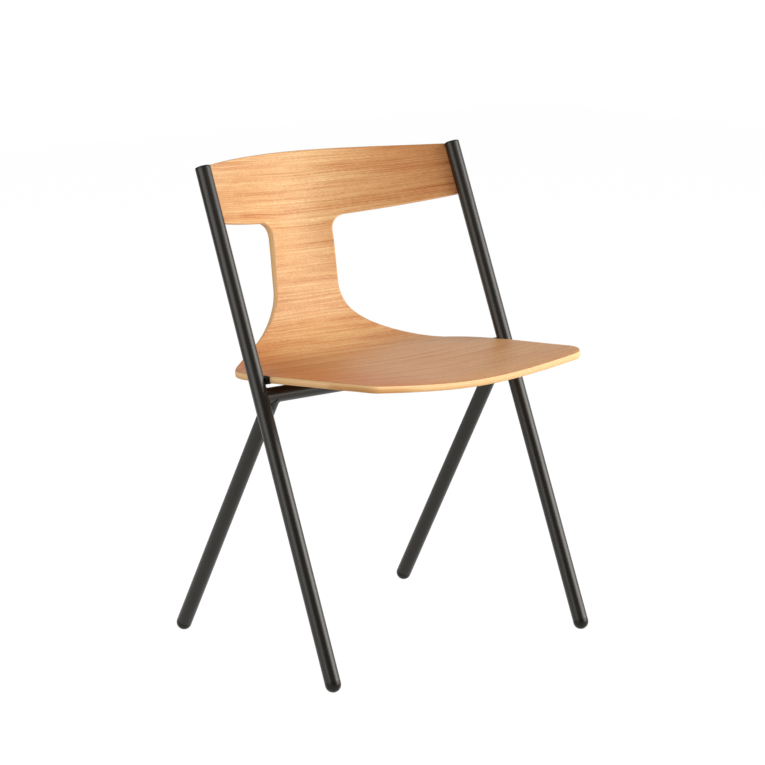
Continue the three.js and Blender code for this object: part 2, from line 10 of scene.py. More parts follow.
import bmesh
import bpy
import numpy as np
from mathutils import Matrix, Vector


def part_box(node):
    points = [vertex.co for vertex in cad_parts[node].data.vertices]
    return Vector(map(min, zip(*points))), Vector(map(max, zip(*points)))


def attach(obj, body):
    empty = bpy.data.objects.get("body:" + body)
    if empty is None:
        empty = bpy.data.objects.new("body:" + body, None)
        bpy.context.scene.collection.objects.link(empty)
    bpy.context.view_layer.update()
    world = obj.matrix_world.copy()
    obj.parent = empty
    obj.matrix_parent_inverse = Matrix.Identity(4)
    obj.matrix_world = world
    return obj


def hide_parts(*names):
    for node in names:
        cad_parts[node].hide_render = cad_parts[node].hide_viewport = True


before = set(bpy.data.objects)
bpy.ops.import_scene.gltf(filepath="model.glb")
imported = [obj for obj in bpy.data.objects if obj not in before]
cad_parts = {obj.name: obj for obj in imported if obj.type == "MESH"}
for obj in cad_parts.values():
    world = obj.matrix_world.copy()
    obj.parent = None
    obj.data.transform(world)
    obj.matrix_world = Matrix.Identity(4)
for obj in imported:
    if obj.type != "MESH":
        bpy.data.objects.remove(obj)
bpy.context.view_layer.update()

MM = 0.001
BODY = "root"

# Clearance between seated pieces
seat_gap = 0.3 * MM

# Frame
tube_radius = 12.5 * MM
tube_wall = 2 * MM
foot_span = 528.5 * MM
top_span = 521.1 * MM
frame_height = 780 * MM
side_tube_lean = math.radians(22.92)
rear_foot_reach = 421.4 * MM
glide_flat_radius = 3.1 * MM
glide_collar = 3.5 * MM
glide_stem = 20 * MM
plug_flange = 3 * MM
plug_stem = 18 * MM
plug_crown = 0.6 * MM
block_width = 11 * MM

# Tongues, straps and fasteners
tongue_thickness = 3 * MM
tongue_height = 70 * MM
back_screw_spacing = 40 * MM
back_screw_inset = 8 * MM
strap_place = 60 * MM
strap_width = 25 * MM
strap_thickness = 2.5 * MM
strap_ear = 22 * MM
strap_bend = 2 * MM
strap_screw_inset = 10 * MM
screw_radius = 3 * MM
head_radius = 5.5 * MM
head_height = 3.2 * MM
socket_radius = 2.2 * MM
socket_depth = 1.8 * MM
insert_radius = 4.6 * MM
insert_length = 8 * MM

# Welds, and the rounding of edges that the solids leave sharp
weld_bead = 1.36 * MM
tongue_bead = 1.15 * MM
block_ease = 1.2 * MM
strap_ease = 0.4 * MM
tongue_ease = 0.3 * MM

# Shell
shell_thickness = 11 * MM
front_overhang = 47.8 * MM
front_rim_height = 463.9 * MM
lip_rise = math.radians(7.24)
lip_radius = 250 * MM
seat_slope = math.radians(2.26)
seat_straight = 299.3 * MM
bend_radius = 87.8 * MM
back_lean = math.radians(13.77)
back_top_drop = 7 * MM
band_height = 115.6 * MM
band_top_drop = 21.9 * MM
band_low_rise = 5.5 * MM
dish_front = 18 * MM
dish_rear = 1 * MM
dish_core = 132 * MM
dish_fade = 60 * MM
bow_core = 128 * MM
bow_lead = 146 * MM
contact_turn = math.radians(48)
seat_side_gap = 3.3 * MM
front_taper = 7.2 * MM
front_bow = 7.2 * MM
corner_width = 35.2 * MM
corner_length = 54.4 * MM
corner_handle_shares = (0.62, 0.47)
widest_place = 235 * MM
widest_handles = (60 * MM, 50 * MM, 67 * MM)
wing_place = 365.5 * MM
wing_half_width = 200.9 * MM
wing_handle = 50 * MM
sweep_inset = 64.8 * MM
sweep_run = 49.8 * MM
neck_place_share = 0.554
neck_handle_share = 0.266
neck_half_width = 65.4 * MM
neck_taper = 2.4 * MM
neck_fillet = 23.8 * MM
arris = 1.6 * MM
edge_round = 3.4 * MM
rear_round = 5.6 * MM
end_arris = 0.06 * MM
end_reach = 0.24 * MM

# Origin: the frame is shifted along Y so that its box is centred.
y_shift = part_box("seat_back_shell")[0].y + front_overhang


# Centre line of the shell's upper face

lip_length = lip_radius * (lip_rise + seat_slope)
lip_end = Vector((
    y_shift - front_overhang + lip_radius * (math.sin(lip_rise) + math.sin(seat_slope)),
    front_rim_height + lip_radius * (math.cos(seat_slope) - math.cos(lip_rise)),
))
bend_start = lip_length + seat_straight
bend_centre = lip_end + Vector((
    seat_straight * math.cos(seat_slope) + bend_radius * math.sin(seat_slope),
    -seat_straight * math.sin(seat_slope) + bend_radius * math.cos(seat_slope),
))
back_angle = math.pi / 2 - back_lean
bend_end = bend_start + bend_radius * (seat_slope + back_angle)
back_foot = bend_centre + bend_radius * Vector((math.sin(back_angle), -math.cos(back_angle)))
back_top = bend_end + (frame_height - back_top_drop - back_foot.y) / math.sin(back_angle)
band_start = back_top - band_height
neck_place = wing_place + neck_place_share * (band_start - wing_place)
neck_handle = neck_handle_share * (band_start - wing_place)
foot_height = math.sqrt(tube_radius**2 - glide_flat_radius**2)
side_foot = Vector((foot_span / 2, y_shift, foot_height))
side_top = Vector((
    top_span / 2,
    y_shift + (frame_height - foot_height) * math.tan(side_tube_lean),
    frame_height,
))
side_direction = (side_top - side_foot).normalized()


def centre_line(s):
    """Place (y, z) and slope angle of the centre line at s."""
    lip_angle = lip_rise - s / lip_radius
    bend_angle = (s - bend_start) / bend_radius - seat_slope
    run = s - lip_length
    rise = s - bend_end
    parts = [s < lip_length, s < bend_start, s < bend_end]
    angle = np.select(parts, [lip_angle, -seat_slope, bend_angle], back_angle)
    y = np.select(parts, [
        y_shift - front_overhang + lip_radius * (math.sin(lip_rise) - np.sin(lip_angle)),
        lip_end.x + run * math.cos(seat_slope),
        bend_centre.x + bend_radius * np.sin(bend_angle),
    ], back_foot.x + rise * math.cos(back_angle))
    z = np.select(parts, [
        front_rim_height + lip_radius * (np.cos(lip_angle) - math.cos(lip_rise)),
        lip_end.y - run * math.sin(seat_slope),
        bend_centre.y - bend_radius * np.cos(bend_angle),
    ], back_foot.y + rise * math.sin(back_angle))
    return y, z, angle


# Band ends: they follow a line along each side tube, a gap off its inner rear quarter.
inboard = (Vector((-1, 0, 0)) + side_direction * side_direction.x).normalized()
rearward = inboard.cross(side_direction)
contact_foot = side_foot + (tube_radius + seat_gap) * (
    inboard * math.cos(contact_turn) + rearward * math.sin(contact_turn)
)


def band_end(s):
    """Half width and bow depth where the band meets the side tube at s."""
    y, z, angle = centre_line(np.asarray(s, float))
    dy, dz = y - contact_foot.y, z - contact_foot.z
    cos, sin = np.cos(angle), np.sin(angle)
    determinant = -side_direction.y * cos - side_direction.z * sin
    along = (-dy * cos - dz * sin) / determinant
    depth = (side_direction.y * dz - side_direction.z * dy) / determinant
    return contact_foot.x + along * side_direction.x, depth


def trough(x, core):
    return np.hypot(x, core) - core


low_x, low_depth = band_end(band_start)
high_x, high_depth = band_end(back_top - band_top_drop)
top_bow_radius = (high_x**2 + high_depth**2) / (2 * high_depth)
seat_crossing = side_foot + side_direction * ((lip_end.y - foot_height) / side_direction.z)
seat_half_width = seat_crossing.x - tube_radius - seat_side_gap
front_half_width = seat_half_width - front_taper


def band_top_at(x):
    return back_top - band_top_drop * (x / low_x) ** 2


def band_low_at(x):
    return band_start + band_low_rise * (x / low_x) ** 2


def seat_dish(x, s):
    front = dish_front + (dish_rear - dish_front) * s / bend_start
    rear = dish_rear * np.clip(1 - (s - bend_start) / dish_fade, 0, 1)
    dish = np.where(s < bend_start, front, rear)
    return dish * trough(x, dish_core) / trough(seat_half_width, dish_core)


def back_bow(x, s):
    low = low_depth * trough(x, bow_core) / trough(low_x, bow_core)
    high = top_bow_radius - np.sqrt(top_bow_radius**2 - x**2)
    slope = (high - low) / (band_top_at(x) - band_start)
    t = np.clip((s - band_start + bow_lead) / bow_lead, 0, 1)
    built_up = low * (3 - 2 * t) * t**2 + slope * bow_lead * (t - 1) * t**2
    return np.where(s < band_start, built_up, low + slope * (s - band_start))


def upper_face(x, s):
    """Points of the sitter's face, as an array of rows."""
    x, s = np.broadcast_arrays(np.asarray(x, float), np.asarray(s, float))
    y, z, angle = centre_line(s)
    rise = seat_dish(x, s) + back_bow(x, s)
    return np.stack([x, y - rise * np.sin(angle), z + rise * np.cos(angle)], -1)


def face_frame(x, s, probe=0.5 * MM):
    """Surface tangents along x and s, and the normal on the sitter's side."""
    along_x = (upper_face(x + probe, s) - upper_face(x - probe, s)) / (2 * probe)
    along_s = (upper_face(x, s + probe) - upper_face(x, s - probe)) / (2 * probe)
    normal = np.cross(along_x, along_s)
    return along_x, along_s, normal / np.linalg.norm(normal, axis=-1, keepdims=True)


def inside_ply(x, s, depth):
    """Point below the sitter's face, as a Vector."""
    x, s = np.array([x], float), np.array([s], float)
    return Vector((upper_face(x, s) - face_frame(x, s)[2] * depth)[0])


# Rail under the seat, and the straps on it
low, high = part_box("seat_rail")
rail_centre = Vector((0, (low.y + high.y) / 2, (low.z + high.z) / 2))
rail_end = side_foot + side_direction * ((rail_centre.z - foot_height) / side_direction.z)
rail_place = (
    lip_length
    + (rail_centre.y - lip_end.x) * math.cos(seat_slope)
    - (rail_centre.z - lip_end.y) * math.sin(seat_slope)
)
tube_start = glide_collar + seat_gap
seat_up = Vector((0, math.sin(seat_slope), math.cos(seat_slope)))
seat_rearward = Vector((0, math.cos(seat_slope), -math.sin(seat_slope)))
strap_inner = tube_radius + seat_gap
strap_rise = tube_radius + float(seat_dish(strap_place - strap_width / 2, rail_place))
strap_out = strap_inner + strap_thickness + strap_bend + strap_ear
strap_screw_place = strap_out - strap_screw_inset


# Mesh helpers

def mesh_object(name, vertices, faces=(), edges=(), smooth=True):
    mesh = bpy.data.meshes.new(name)
    mesh.from_pydata([tuple(v) for v in vertices], edges, [tuple(f) for f in faces])
    mesh.polygons.foreach_set("use_smooth", [smooth] * len(mesh.polygons))
    piece = bpy.data.objects.new(name, mesh)
    bpy.context.scene.collection.objects.link(piece)
    return piece


def apply_modifiers(piece):
    """Turns the piece's modifiers into plain mesh."""
    graph = bpy.context.evaluated_depsgraph_get()
    mesh = bpy.data.meshes.new_from_object(piece.evaluated_get(graph))
    piece.modifiers.clear()
    piece.data = mesh
    return piece


def shade(piece, sharp=35):
    """Smooth shading that breaks at edges sharper than the given angle in degrees."""
    mesh = piece.data
    mesh.polygons.foreach_set("use_smooth", [True] * len(mesh.polygons))
    mesh.set_sharp_from_angle(angle=math.radians(sharp))
    return piece


def ease(piece, width, segments=3, angle=35):
    """Rounds the piece's sharp edges."""
    bevel = piece.modifiers.new("ease", "BEVEL")
    bevel.width = width
    bevel.segments = segments
    bevel.limit_method = "ANGLE"
    bevel.angle_limit = math.radians(angle)
    return shade(apply_modifiers(piece), angle)


def subtract(piece, cutters):
    """Cuts the cutters out of the piece, and deletes them."""
    for cutter in cutters:
        boolean = piece.modifiers.new("cut", "BOOLEAN")
        boolean.operation = "DIFFERENCE"
        boolean.solver = "EXACT"
        boolean.object = cutter
    apply_modifiers(piece)
    for cutter in cutters:
        bpy.data.objects.remove(cutter)
    return piece


def finish_piece(piece, slot, material, *nodes):
    """Gives the piece its material and body, and hides the CAD nodes that it stands for."""
    piece.data.materials.clear()
    piece.data.materials.append(material)
    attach(piece, BODY)
    if nodes:
        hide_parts(*nodes)
    return piece


def sides_of(direction):
    """Two directions that make a right-handed frame with the given one."""
    first = direction.orthogonal().normalized()
    return first, direction.cross(first)


def revolve(name, profile, origin, direction, segments):
    """A closed body from a profile of (radius, height) pairs that starts and ends on the axis."""
    first, second = sides_of(direction)
    vertices = [origin + direction * profile[0][1]]
    for radius, height in profile[1:-1]:
        for i in range(segments):
            turn = 2 * math.pi * i / segments
            arm = first * math.cos(turn) + second * math.sin(turn)
            vertices.append(origin + direction * height + arm * radius)
    vertices.append(origin + direction * profile[-1][1])
    faces = []
    rings = len(profile) - 2
    last = 1 + (rings - 1) * segments
    for i in range(segments):
        j = (i + 1) % segments
        faces.append((0, 1 + j, 1 + i))
        for ring in range(rings - 1):
            low, high = 1 + ring * segments, 1 + (ring + 1) * segments
            faces.append((low + i, low + j, high + j, high + i))
        faces.append((last + i, last + j, len(vertices) - 1))
    return shade(mesh_object(name, vertices, faces), sharp=40)


def rod(name, radius, start, end, segments=32):
    length = (end - start).length
    profile = [(0, 0), (radius, 0), (radius, length), (0, length)]
    return revolve(name, profile, start, (end - start) / length, segments)


def box_cutter(low, high):
    corners = [(x, y, z) for x in (low.x, high.x) for y in (low.y, high.y) for z in (low.z, high.z)]
    faces = [(0, 1, 3, 2), (4, 6, 7, 5), (0, 4, 5, 1), (2, 3, 7, 6), (0, 2, 6, 4), (1, 5, 7, 3)]
    return mesh_object("cutter", corners, faces, smooth=False)


def arc(centre_x, centre_y, radius, start, end, steps):
    """Points on an arc, from one angle in degrees to another."""
    angles = np.radians(np.linspace(start, end, steps + 1))
    return [(centre_x + radius * math.cos(a), centre_y + radius * math.sin(a)) for a in angles]


@contextmanager
def mesh_edit(mesh):
    """The mesh as a bmesh, written back at the end."""
    shape = bmesh.new()
    shape.from_mesh(mesh)
    yield shape
    shape.to_mesh(mesh)
    shape.free()


def merged_copy(node, name, merge_distance=0.02 * MM, flat_angle=math.radians(1)):
    """The CAD node's own shape as one clean mesh."""
    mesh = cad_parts[node].data.copy()
    piece = bpy.data.objects.new(name, mesh)
    bpy.context.scene.collection.objects.link(piece)
    with mesh_edit(mesh) as shape:
        bmesh.ops.remove_doubles(shape, verts=shape.verts, dist=merge_distance)
        whole = {"verts": shape.verts, "edges": shape.edges}
        bmesh.ops.dissolve_limit(shape, angle_limit=flat_angle, **whole)
    return piece


def grown_copy(node, clearance):
    """A cutter that stands off the CAD node by the clearance on every side."""
    piece = merged_copy(node, "cutter")
    with mesh_edit(piece.data) as shape:
        shape.normal_update()
        moves = [(v, v.normal * v.calc_shell_factor() * clearance) for v in shape.verts]
        for vertex, move in moves:
            vertex.co += move
    return piece


# Node graphs

class Wire:
    """A socket in a node graph. Arithmetic on it adds Math nodes."""

    def __init__(self, graph, socket):
        self.graph = graph
        self.socket = socket

    def __add__(self, other):
        return self.graph.maths("ADD", self, other)

    def __sub__(self, other):
        return self.graph.maths("SUBTRACT", self, other)

    def __rsub__(self, other):
        return self.graph.maths("SUBTRACT", other, self)

    def __mul__(self, other):
        return self.graph.maths("MULTIPLY", self, other)

    def __truediv__(self, other):
        return self.graph.maths("DIVIDE", self, other)

    __radd__ = __add__
    __rmul__ = __mul__


class Graph:
    """The node tree of a material or world, and the one way to add nodes to a tree."""

    def __init__(self, owner):
        owner.use_nodes = True
        self.tree = owner.node_tree
        self.tree.nodes.clear()

    def feed(self, socket, value):
        if isinstance(value, list):
            for wire in value:
                self.tree.links.new(wire.socket, socket)
        elif isinstance(value, Wire):
            self.tree.links.new(value.socket, socket)
        elif socket.type == "RGBA" and len(value) == 3:
            socket.default_value = (*value, 1)
        else:
            socket.default_value = value

    def node(self, kind, settings=None, values=(), out=0):
        """Adds a node: its settings first, then its sockets, by place or by name.

        Gives the wire of one output, or nothing for an output node.
        """
        made = self.tree.nodes.new(kind)
        for key, value in (settings or {}).items():
            if key == "stops":
                self.set_stops(made.color_ramp, value)
            else:
                setattr(made, key, value)
        pairs = values.items() if isinstance(values, dict) else enumerate(values)
        for key, value in pairs:
            self.feed(made.inputs[key], value)
        return Wire(self, made.outputs[out]) if len(made.outputs) else None

    def set_stops(self, ramp, stops):
        while len(ramp.elements) > 1:
            ramp.elements.remove(ramp.elements[-1])
        for i, (place, colour) in enumerate(stops):
            element = ramp.elements[0] if i == 0 else ramp.elements.new(place)
            element.position = place
            element.color = (*colour, 1)

    def maths(self, operation, *values):
        return self.node("ShaderNodeMath", {"operation": operation}, values)

    def vector(self, x, y, z):
        return self.node("ShaderNodeCombineXYZ", values=[x, y, z])

    def seen_directly(self):
        """One where a camera, glossy or transmission ray looks, and nought for light rays."""
        names = ("Is Camera Ray", "Is Glossy Ray", "Is Transmission Ray")
        camera, glossy, transmission = (self.node("ShaderNodeLightPath", out=name) for name in names)
        return self.maths("MAXIMUM", self.maths("MAXIMUM", camera, glossy), transmission)


# What an edge of a tube's base mesh stands for
WALL, BORE, NEIGHBOUR = range(3)

# A thread's ridge, as shares of its pitch: its own radius, and its middle above the core
ridge_share = 0.36
ridge_lift = 0.09


class Shape(Graph):
    """A Geometry Nodes tree with named inputs."""

    kinds = {float: "NodeSocketFloat", int: "NodeSocketInt"}

    def __init__(self, name, **inputs):
        self.tree = bpy.data.node_groups.new(name, "GeometryNodeTree")
        self.tree.is_modifier = True
        sockets = self.tree.interface
        first = sockets.new_socket("Geometry", in_out="INPUT", socket_type="NodeSocketGeometry")
        sockets.new_socket("Geometry", in_out="OUTPUT", socket_type="NodeSocketGeometry")
        self.keys = {"geometry": first.identifier}
        self.defaults = {}
        for key, value in inputs.items():
            title = key.replace("_", " ").capitalize()
            socket = sockets.new_socket(title, in_out="INPUT", socket_type=self.kinds[type(value)])
            self.keys[key] = socket.identifier
            self.defaults[key] = value
        socket = sockets.new_socket("Material", in_out="INPUT", socket_type="NodeSocketMaterial")
        self.keys["material"] = socket.identifier
        self.entry = self.node("NodeGroupInput").socket.node

    def input(self, key):
        return Wire(self, next(s for s in self.entry.outputs if s.identifier == self.keys[key]))

    def end(self, geometry):
        """Closes the tree: makes its instances real and sets the material."""
        plain = self.node("GeometryNodeRealizeInstances", values=[geometry])
        values = {"Geometry": plain, "Material": self.input("material")}
        self.node("NodeGroupOutput", values=[self.node("GeometryNodeSetMaterial", values=values)])

    def make(self, base, slot, material, nodes, **changes):
        """Runs the tree on a base mesh, and leaves a plain piece that stands for CAD nodes."""
        modifier = base.modifiers.new("shape", "NODES")
        modifier.node_group = self.tree
        for key, value in {**self.defaults, **changes, "material": material}.items():
            modifier[self.keys[key]] = value
        finish_piece(apply_modifiers(base), slot, material, *nodes)
        base.data.polygons.foreach_set("material_index", [0] * len(base.data.polygons))
        return base

    def sweep(self, line, radius, sides):
        """A round bar along a curve."""
        values = {"Resolution": sides, "Radius": radius}
        ring = self.node("GeometryNodeCurvePrimitiveCircle", values=values)
        values = {"Curve": line, "Profile Curve": ring, "Fill Caps": True}
        return self.node("GeometryNodeCurveToMesh", values=values)

    def lines(self, role):
        """Curves from the base mesh's edges of one role."""
        settings = {"data_type": "INT"}
        held = self.node("GeometryNodeInputNamedAttribute", settings, {"Name": "role"})
        settings = {"data_type": "INT", "operation": "EQUAL"}
        chosen = self.node("FunctionNodeCompare", settings, {2: held, 3: role})
        values = {"Mesh": self.input("geometry"), "Selection": chosen}
        return self.node("GeometryNodeMeshToCurve", values=values)

    def boolean(self, operation, first, others):
        settings = {"operation": operation, "solver": "EXACT"}
        values = {0: first, 1: others} if operation == "DIFFERENCE" else {1: [first, *others]}
        return self.node("GeometryNodeMeshBoolean", settings, values)

    def drum(self, sides, radius, foot, top):
        """A cylinder that stands on the Z axis between two heights."""
        values = {"Vertices": sides, "Radius": radius, "Depth": top - foot}
        body = self.node("GeometryNodeMeshCylinder", values=values)
        return self.lift(body, (top + foot) * 0.5)

    def lift(self, geometry, height):
        values = {"Geometry": geometry, "Translation": self.vector(0.0, 0.0, height)}
        return self.node("GeometryNodeTransform", values=values)

    def thread(self, core, pitch, foot, length, sides=20, ridge_sides=6):
        """A ridge that winds up the Z axis round a core, half sunk in it."""
        radius = core + pitch * ridge_lift
        turns = (length - pitch) / pitch
        values = {"Resolution": sides, "Rotations": turns, "Height": turns * pitch}
        values.update({"Start Radius": radius, "End Radius": radius})
        line = self.node("GeometryNodeCurveSpiral", values=values)
        return self.lift(self.sweep(line, pitch * ridge_share, ridge_sides), foot)

    def place(self, geometry):
        """One copy at each vertex of the base mesh, along the vertex's direction."""
        settings = {"data_type": "FLOAT_VECTOR"}
        held = self.node("GeometryNodeInputNamedAttribute", settings, {"Name": "direction"})
        turn = self.node("FunctionNodeAlignRotationToVector", {"axis": "Z"}, {"Vector": held})
        values = {"Points": self.input("geometry"), "Instance": geometry, "Rotation": turn}
        return self.node("GeometryNodeInstanceOnPoints", values=values)


def directed_points(name, places):
    """A mesh of loose vertices, each with a direction, from (place, direction) pairs."""
    points = mesh_object(name, [place for place, _ in places])
    held = points.data.attributes.new("direction", "FLOAT_VECTOR", "POINT")
    held.data.foreach_set("vector", [c for _, direction in places for c in direction])
    return points


# Plywood shell

def bezier(points, steps):
    a, b, c, d = np.array(points, float)
    t = np.linspace(0, 1, steps + 1)[:, None]
    return a * (1 - t) ** 3 + 3 * b * t * (1 - t) ** 2 + 3 * c * t**2 * (1 - t) + d * t**3


def side_outline(curve_steps=(22, 26, 30, 46), neck_points=15, fillet_steps=12):
    """Right half of the outline as points (x, s), from the front corner's start to the band."""
    corner_start = front_half_width - corner_width
    corner_end = front_bow + corner_length
    corner_handles = np.multiply(corner_handle_shares, (corner_width, corner_length))
    slope = 2 * front_bow / corner_start
    handle = wing_handle / math.hypot(sweep_inset, sweep_run)
    neck_top = neck_half_width - neck_taper
    neck_end = band_low_at(neck_top + neck_fillet) - neck_fillet
    # Knots, with two handles between each and the next
    knots = [
        (corner_start, front_bow),
        (corner_start + corner_handles[0], front_bow + slope * corner_handles[0]),
        (front_half_width, corner_end - corner_handles[1]),
        (front_half_width, corner_end),
        (front_half_width, corner_end + widest_handles[0]),
        (seat_half_width, widest_place - widest_handles[1]),
        (seat_half_width, widest_place),
        (seat_half_width, widest_place + widest_handles[2]),
        (wing_half_width + handle * sweep_inset, wing_place - handle * sweep_run),
        (wing_half_width, wing_place),
        (wing_half_width - sweep_inset, wing_place + sweep_run),
        (neck_half_width, neck_place - neck_handle),
        (neck_half_width, neck_place),
    ]
    curves = [bezier(knots[3 * i:3 * i + 4], steps) for i, steps in enumerate(curve_steps)]
    curves.append(np.linspace(knots[-1], (neck_top, neck_end), neck_points))
    fillet = arc(neck_top + neck_fillet, neck_end, neck_fillet, 180, 90, fillet_steps)
    curves.append(np.array(fillet))
    return np.concatenate([curves[0]] + [curve[1:] for curve in curves[1:]])


def outward_offsets(points, tangents):
    """For outline points, how far x and s move for one metre outwards along the surface."""
    along_x, along_s, _ = face_frame(points[:, 0], points[:, 1])
    xx = np.sum(along_x * along_x, -1)
    ss = np.sum(along_s * along_s, -1)
    xs = np.sum(along_x * along_s, -1)
    dx, ds = tangents[:, 0], tangents[:, 1]
    # The direction square to the tangent in the surface's own metric
    out = np.stack([xs * dx + ss * ds, -(xx * dx + xs * ds)], -1)
    length = np.sqrt(xx * out[:, 0] ** 2 + 2 * xs * out[:, 0] * out[:, 1] + ss * out[:, 1] ** 2)
    return out / length[:, None]


def plate_grid(columns=64, wing_columns=26, band_steps=26):
    """Points and cells of the sitter's face, an arris inside the outline, and each point's rim.

    Where a point is on the grid's edge, its rim is the outline's point beyond it.
    """
    points, rims, cells = [], [], []
    previous = []

    def add_row(x, s, rim_x, rim_s):
        """Adds a row, and joins the one before to its middle."""
        row = list(range(len(points), len(points) + len(x)))
        points.extend(np.stack([x, s], -1))
        rims.extend(np.stack(np.broadcast_arrays(rim_x, rim_s), -1))
        offset = (len(row) - len(previous)) // 2
        for j in range(len(previous) - 1):
            k = j + offset
            cells.append((previous[j], previous[j + 1], row[k + 1], row[k]))
        previous[:] = row

    def with_ends(x, end):
        """The row's x with its two ends moved out to the outline."""
        return np.concatenate([[-end], x[1:-1], [end]])

    outline = side_outline()
    inset = outline - arris * outward_offsets(outline, np.gradient(outline, axis=0))
    corner_end = front_bow + corner_length
    front_inset = inset[0, 1]
    for (half_width, place), (rim_x, rim_s) in zip(inset[:-1], outline[:-1]):
        centre = place
        if rim_s < corner_end:
            share = (place - front_inset) / (corner_end - front_inset)
            centre = arris + share * (corner_end - arris)
        x = np.linspace(-half_width, half_width, columns + 1)
        bow = (x / half_width) ** 2
        s = centre + (place - centre) * bow
        if previous:
            add_row(x, s, with_ends(x, rim_x), rim_s)
        else:
            add_row(x, s, x, front_bow * bow)

    root = inset[-1, 0]

    def band_place(x, share):
        """Where a row of the band is at x; its share goes from the lower edge to the upper."""
        low = band_low_at(np.maximum(abs(x), root)) + arris
        return low + (band_top_at(x) - arris - low) * share

    for step in range(band_steps + 1):
        share = step / band_steps
        end_x = float(band_end(band_place(low_x, share))[0])
        slope = np.linalg.norm(face_frame(end_x, band_place(end_x, share))[0])
        end_x += end_reach / slope
        wing = np.linspace(root, end_x - end_arris / slope, wing_columns + 1)[1:]
        x = np.concatenate([-wing[::-1], np.linspace(-root, root, columns + 1), wing])
        s = band_place(x, share)
        rim_x = with_ends(x, end_x)
        edges = {0: band_low_at(rim_x), band_steps: band_top_at(rim_x)}
        add_row(x, s, rim_x, edges.get(step, s))
    return np.array(points), rims, cells


def plywood_shell(round_steps=5, wall_steps=6):
    """Both faces on the inset grid, and a rounded, upright edge all round."""
    points, rims, cells = plate_grid()
    count = len(points)
    top = upper_face(points[:, 0], points[:, 1])
    normal = face_frame(points[:, 0], points[:, 1])[2]
    vertices = [*top, *(top - normal * shell_thickness)]
    grain = [*points, *points]
    layer = [(0.0, 0.0)] * count + [(1.0, 1.0)] * count
    faces = cells + [tuple(i + count for i in cell[::-1]) for cell in cells]

    # Edges of one cell alone
    edges = set()
    for cell in cells:
        for a, b in zip(cell, cell[1:] + cell[:1]):
            if (b, a) in edges:
                edges.remove((b, a))
            else:
                edges.add((a, b))
    turns = np.linspace(0, math.pi / 2, round_steps + 1)[1:]
    rings = {}
    for index in sorted({i for edge in edges for i in edge}):
        rim = rims[index]
        reach = upper_face(rim[0], rim[1]) - top[index]
        reach -= normal[index] * np.dot(reach, normal[index])
        share = min(1, np.linalg.norm(reach) / arris)
        soft, rear_soft = edge_round * share, rear_round * share
        profile = [(math.sin(t), soft * (1 - math.cos(t))) for t in turns]
        for step in range(1, wall_steps):
            profile.append((1.0, soft + step / wall_steps * (shell_thickness - soft - rear_soft)))
        for t in turns[::-1]:
            profile.append((math.sin(t), shell_thickness - rear_soft * (1 - math.cos(t))))
        ring = [index]
        for out, depth in profile:
            ring.append(len(vertices))
            vertices.append(top[index] + reach * out - normal[index] * depth)
            grain.append(rim)
            layer.append((0.5, depth / shell_thickness))
        ring.append(index + count)
        rings[index] = ring
    for a, b in edges:
        for i in range(len(rings[a]) - 1):
            faces.append((rings[b][i], rings[a][i], rings[a][i + 1], rings[b][i + 1]))
    piece = mesh_object("ply_shell", vertices, faces)
    store_uv(piece.data, "grain", grain)
    store_uv(piece.data, "layer", layer)
    return piece


def store_uv(mesh, name, places):
    """Keeps two numbers per vertex as a UV map, which cuts in the mesh carry on."""
    corners = np.zeros(len(mesh.loops), np.int32)
    mesh.loops.foreach_get("vertex_index", corners)
    values = np.array(places, np.float32)[corners]
    mesh.uv_layers.new(name=name).data.foreach_set("uv", values.ravel())


def tongue_axes(side, probe=0.5 * MM):
    """Place in the middle of the band's end, and directions outwards, up the tube and rearwards."""
    place = (band_low_at(low_x) + band_top_at(low_x)) / 2
    end_x = float(band_end(place)[0])
    ends = upper_face(np.array([end_x + probe, end_x - probe]), place)
    outward = Vector(ends[0] - ends[1])
    up = side_direction
    outward = (outward - up * outward.dot(up)).normalized()
    middle = inside_ply(end_x, place, shell_thickness / 2)
    return [mirrored(v, side) for v in (middle, outward, up, up.cross(outward))]


def back_screw_places():
    """Seats of the back screws, with the screws' directions."""
    places = []
    for side in (1, -1):
        middle, outward, up, rearwards = tongue_axes(side)
        for step in (1, -1):
            foot = middle - outward * back_screw_inset + up * (step * back_screw_spacing / 2)
            places.append((foot + rearwards * (shell_thickness / 2 + 2 * seat_gap), rearwards))
    return places


def seat_screw_places():
    """Seats of the seat screws under the straps, with how far above them the ply is."""
    places = []
    for side in (1, -1):
        for step in (-1, 1):
            reach = step * strap_screw_place
            seat = rail_centre + Vector((side * strap_place, 0, 0)) + seat_rearward * reach
            seat += seat_up * (strap_rise - strap_thickness - seat_gap)
            mouth = inside_ply(side * strap_place, rail_place + reach, shell_thickness)
            places.append((seat, (mouth - seat).dot(seat_up)))
    return places


def cut_shell(piece):
    """Notches for the side blocks, slots for the tongues, and holes for screws and inserts."""
    cutters = []
    grow = Vector((seat_gap, seat_gap, 0))
    for name, side in (("left", 1), ("right", -1)):
        low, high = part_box(f"side_block_{name}")
        margin = Vector((0, 0, shell_thickness))
        cutters.append(box_cutter(low - grow - margin, high + grow + margin))
        cutters.append(grown_copy(f"back_tongue_{name}", seat_gap))
    for seat, rise in seat_screw_places():
        start = seat + seat_up * (rise - shell_thickness / 2)
        end = seat + seat_up * (rise + insert_length + seat_gap)
        cutters.append(rod("cutter", insert_radius + seat_gap, start, end))
    for seat, direction in back_screw_places():
        start = seat - direction * (shell_thickness / 2)
        cutters.append(rod("cutter", screw_radius + seat_gap, start, seat + direction * seat_gap))
    for cutter in cutters:
        count = len(cutter.data.vertices)
        store_uv(cutter.data, "grain", [(v.co.x, v.co.z) for v in cutter.data.vertices])
        store_uv(cutter.data, "layer", [(0.5, 0.5)] * count)
    return shade(subtract(piece, cutters), sharp=32)


# Materials

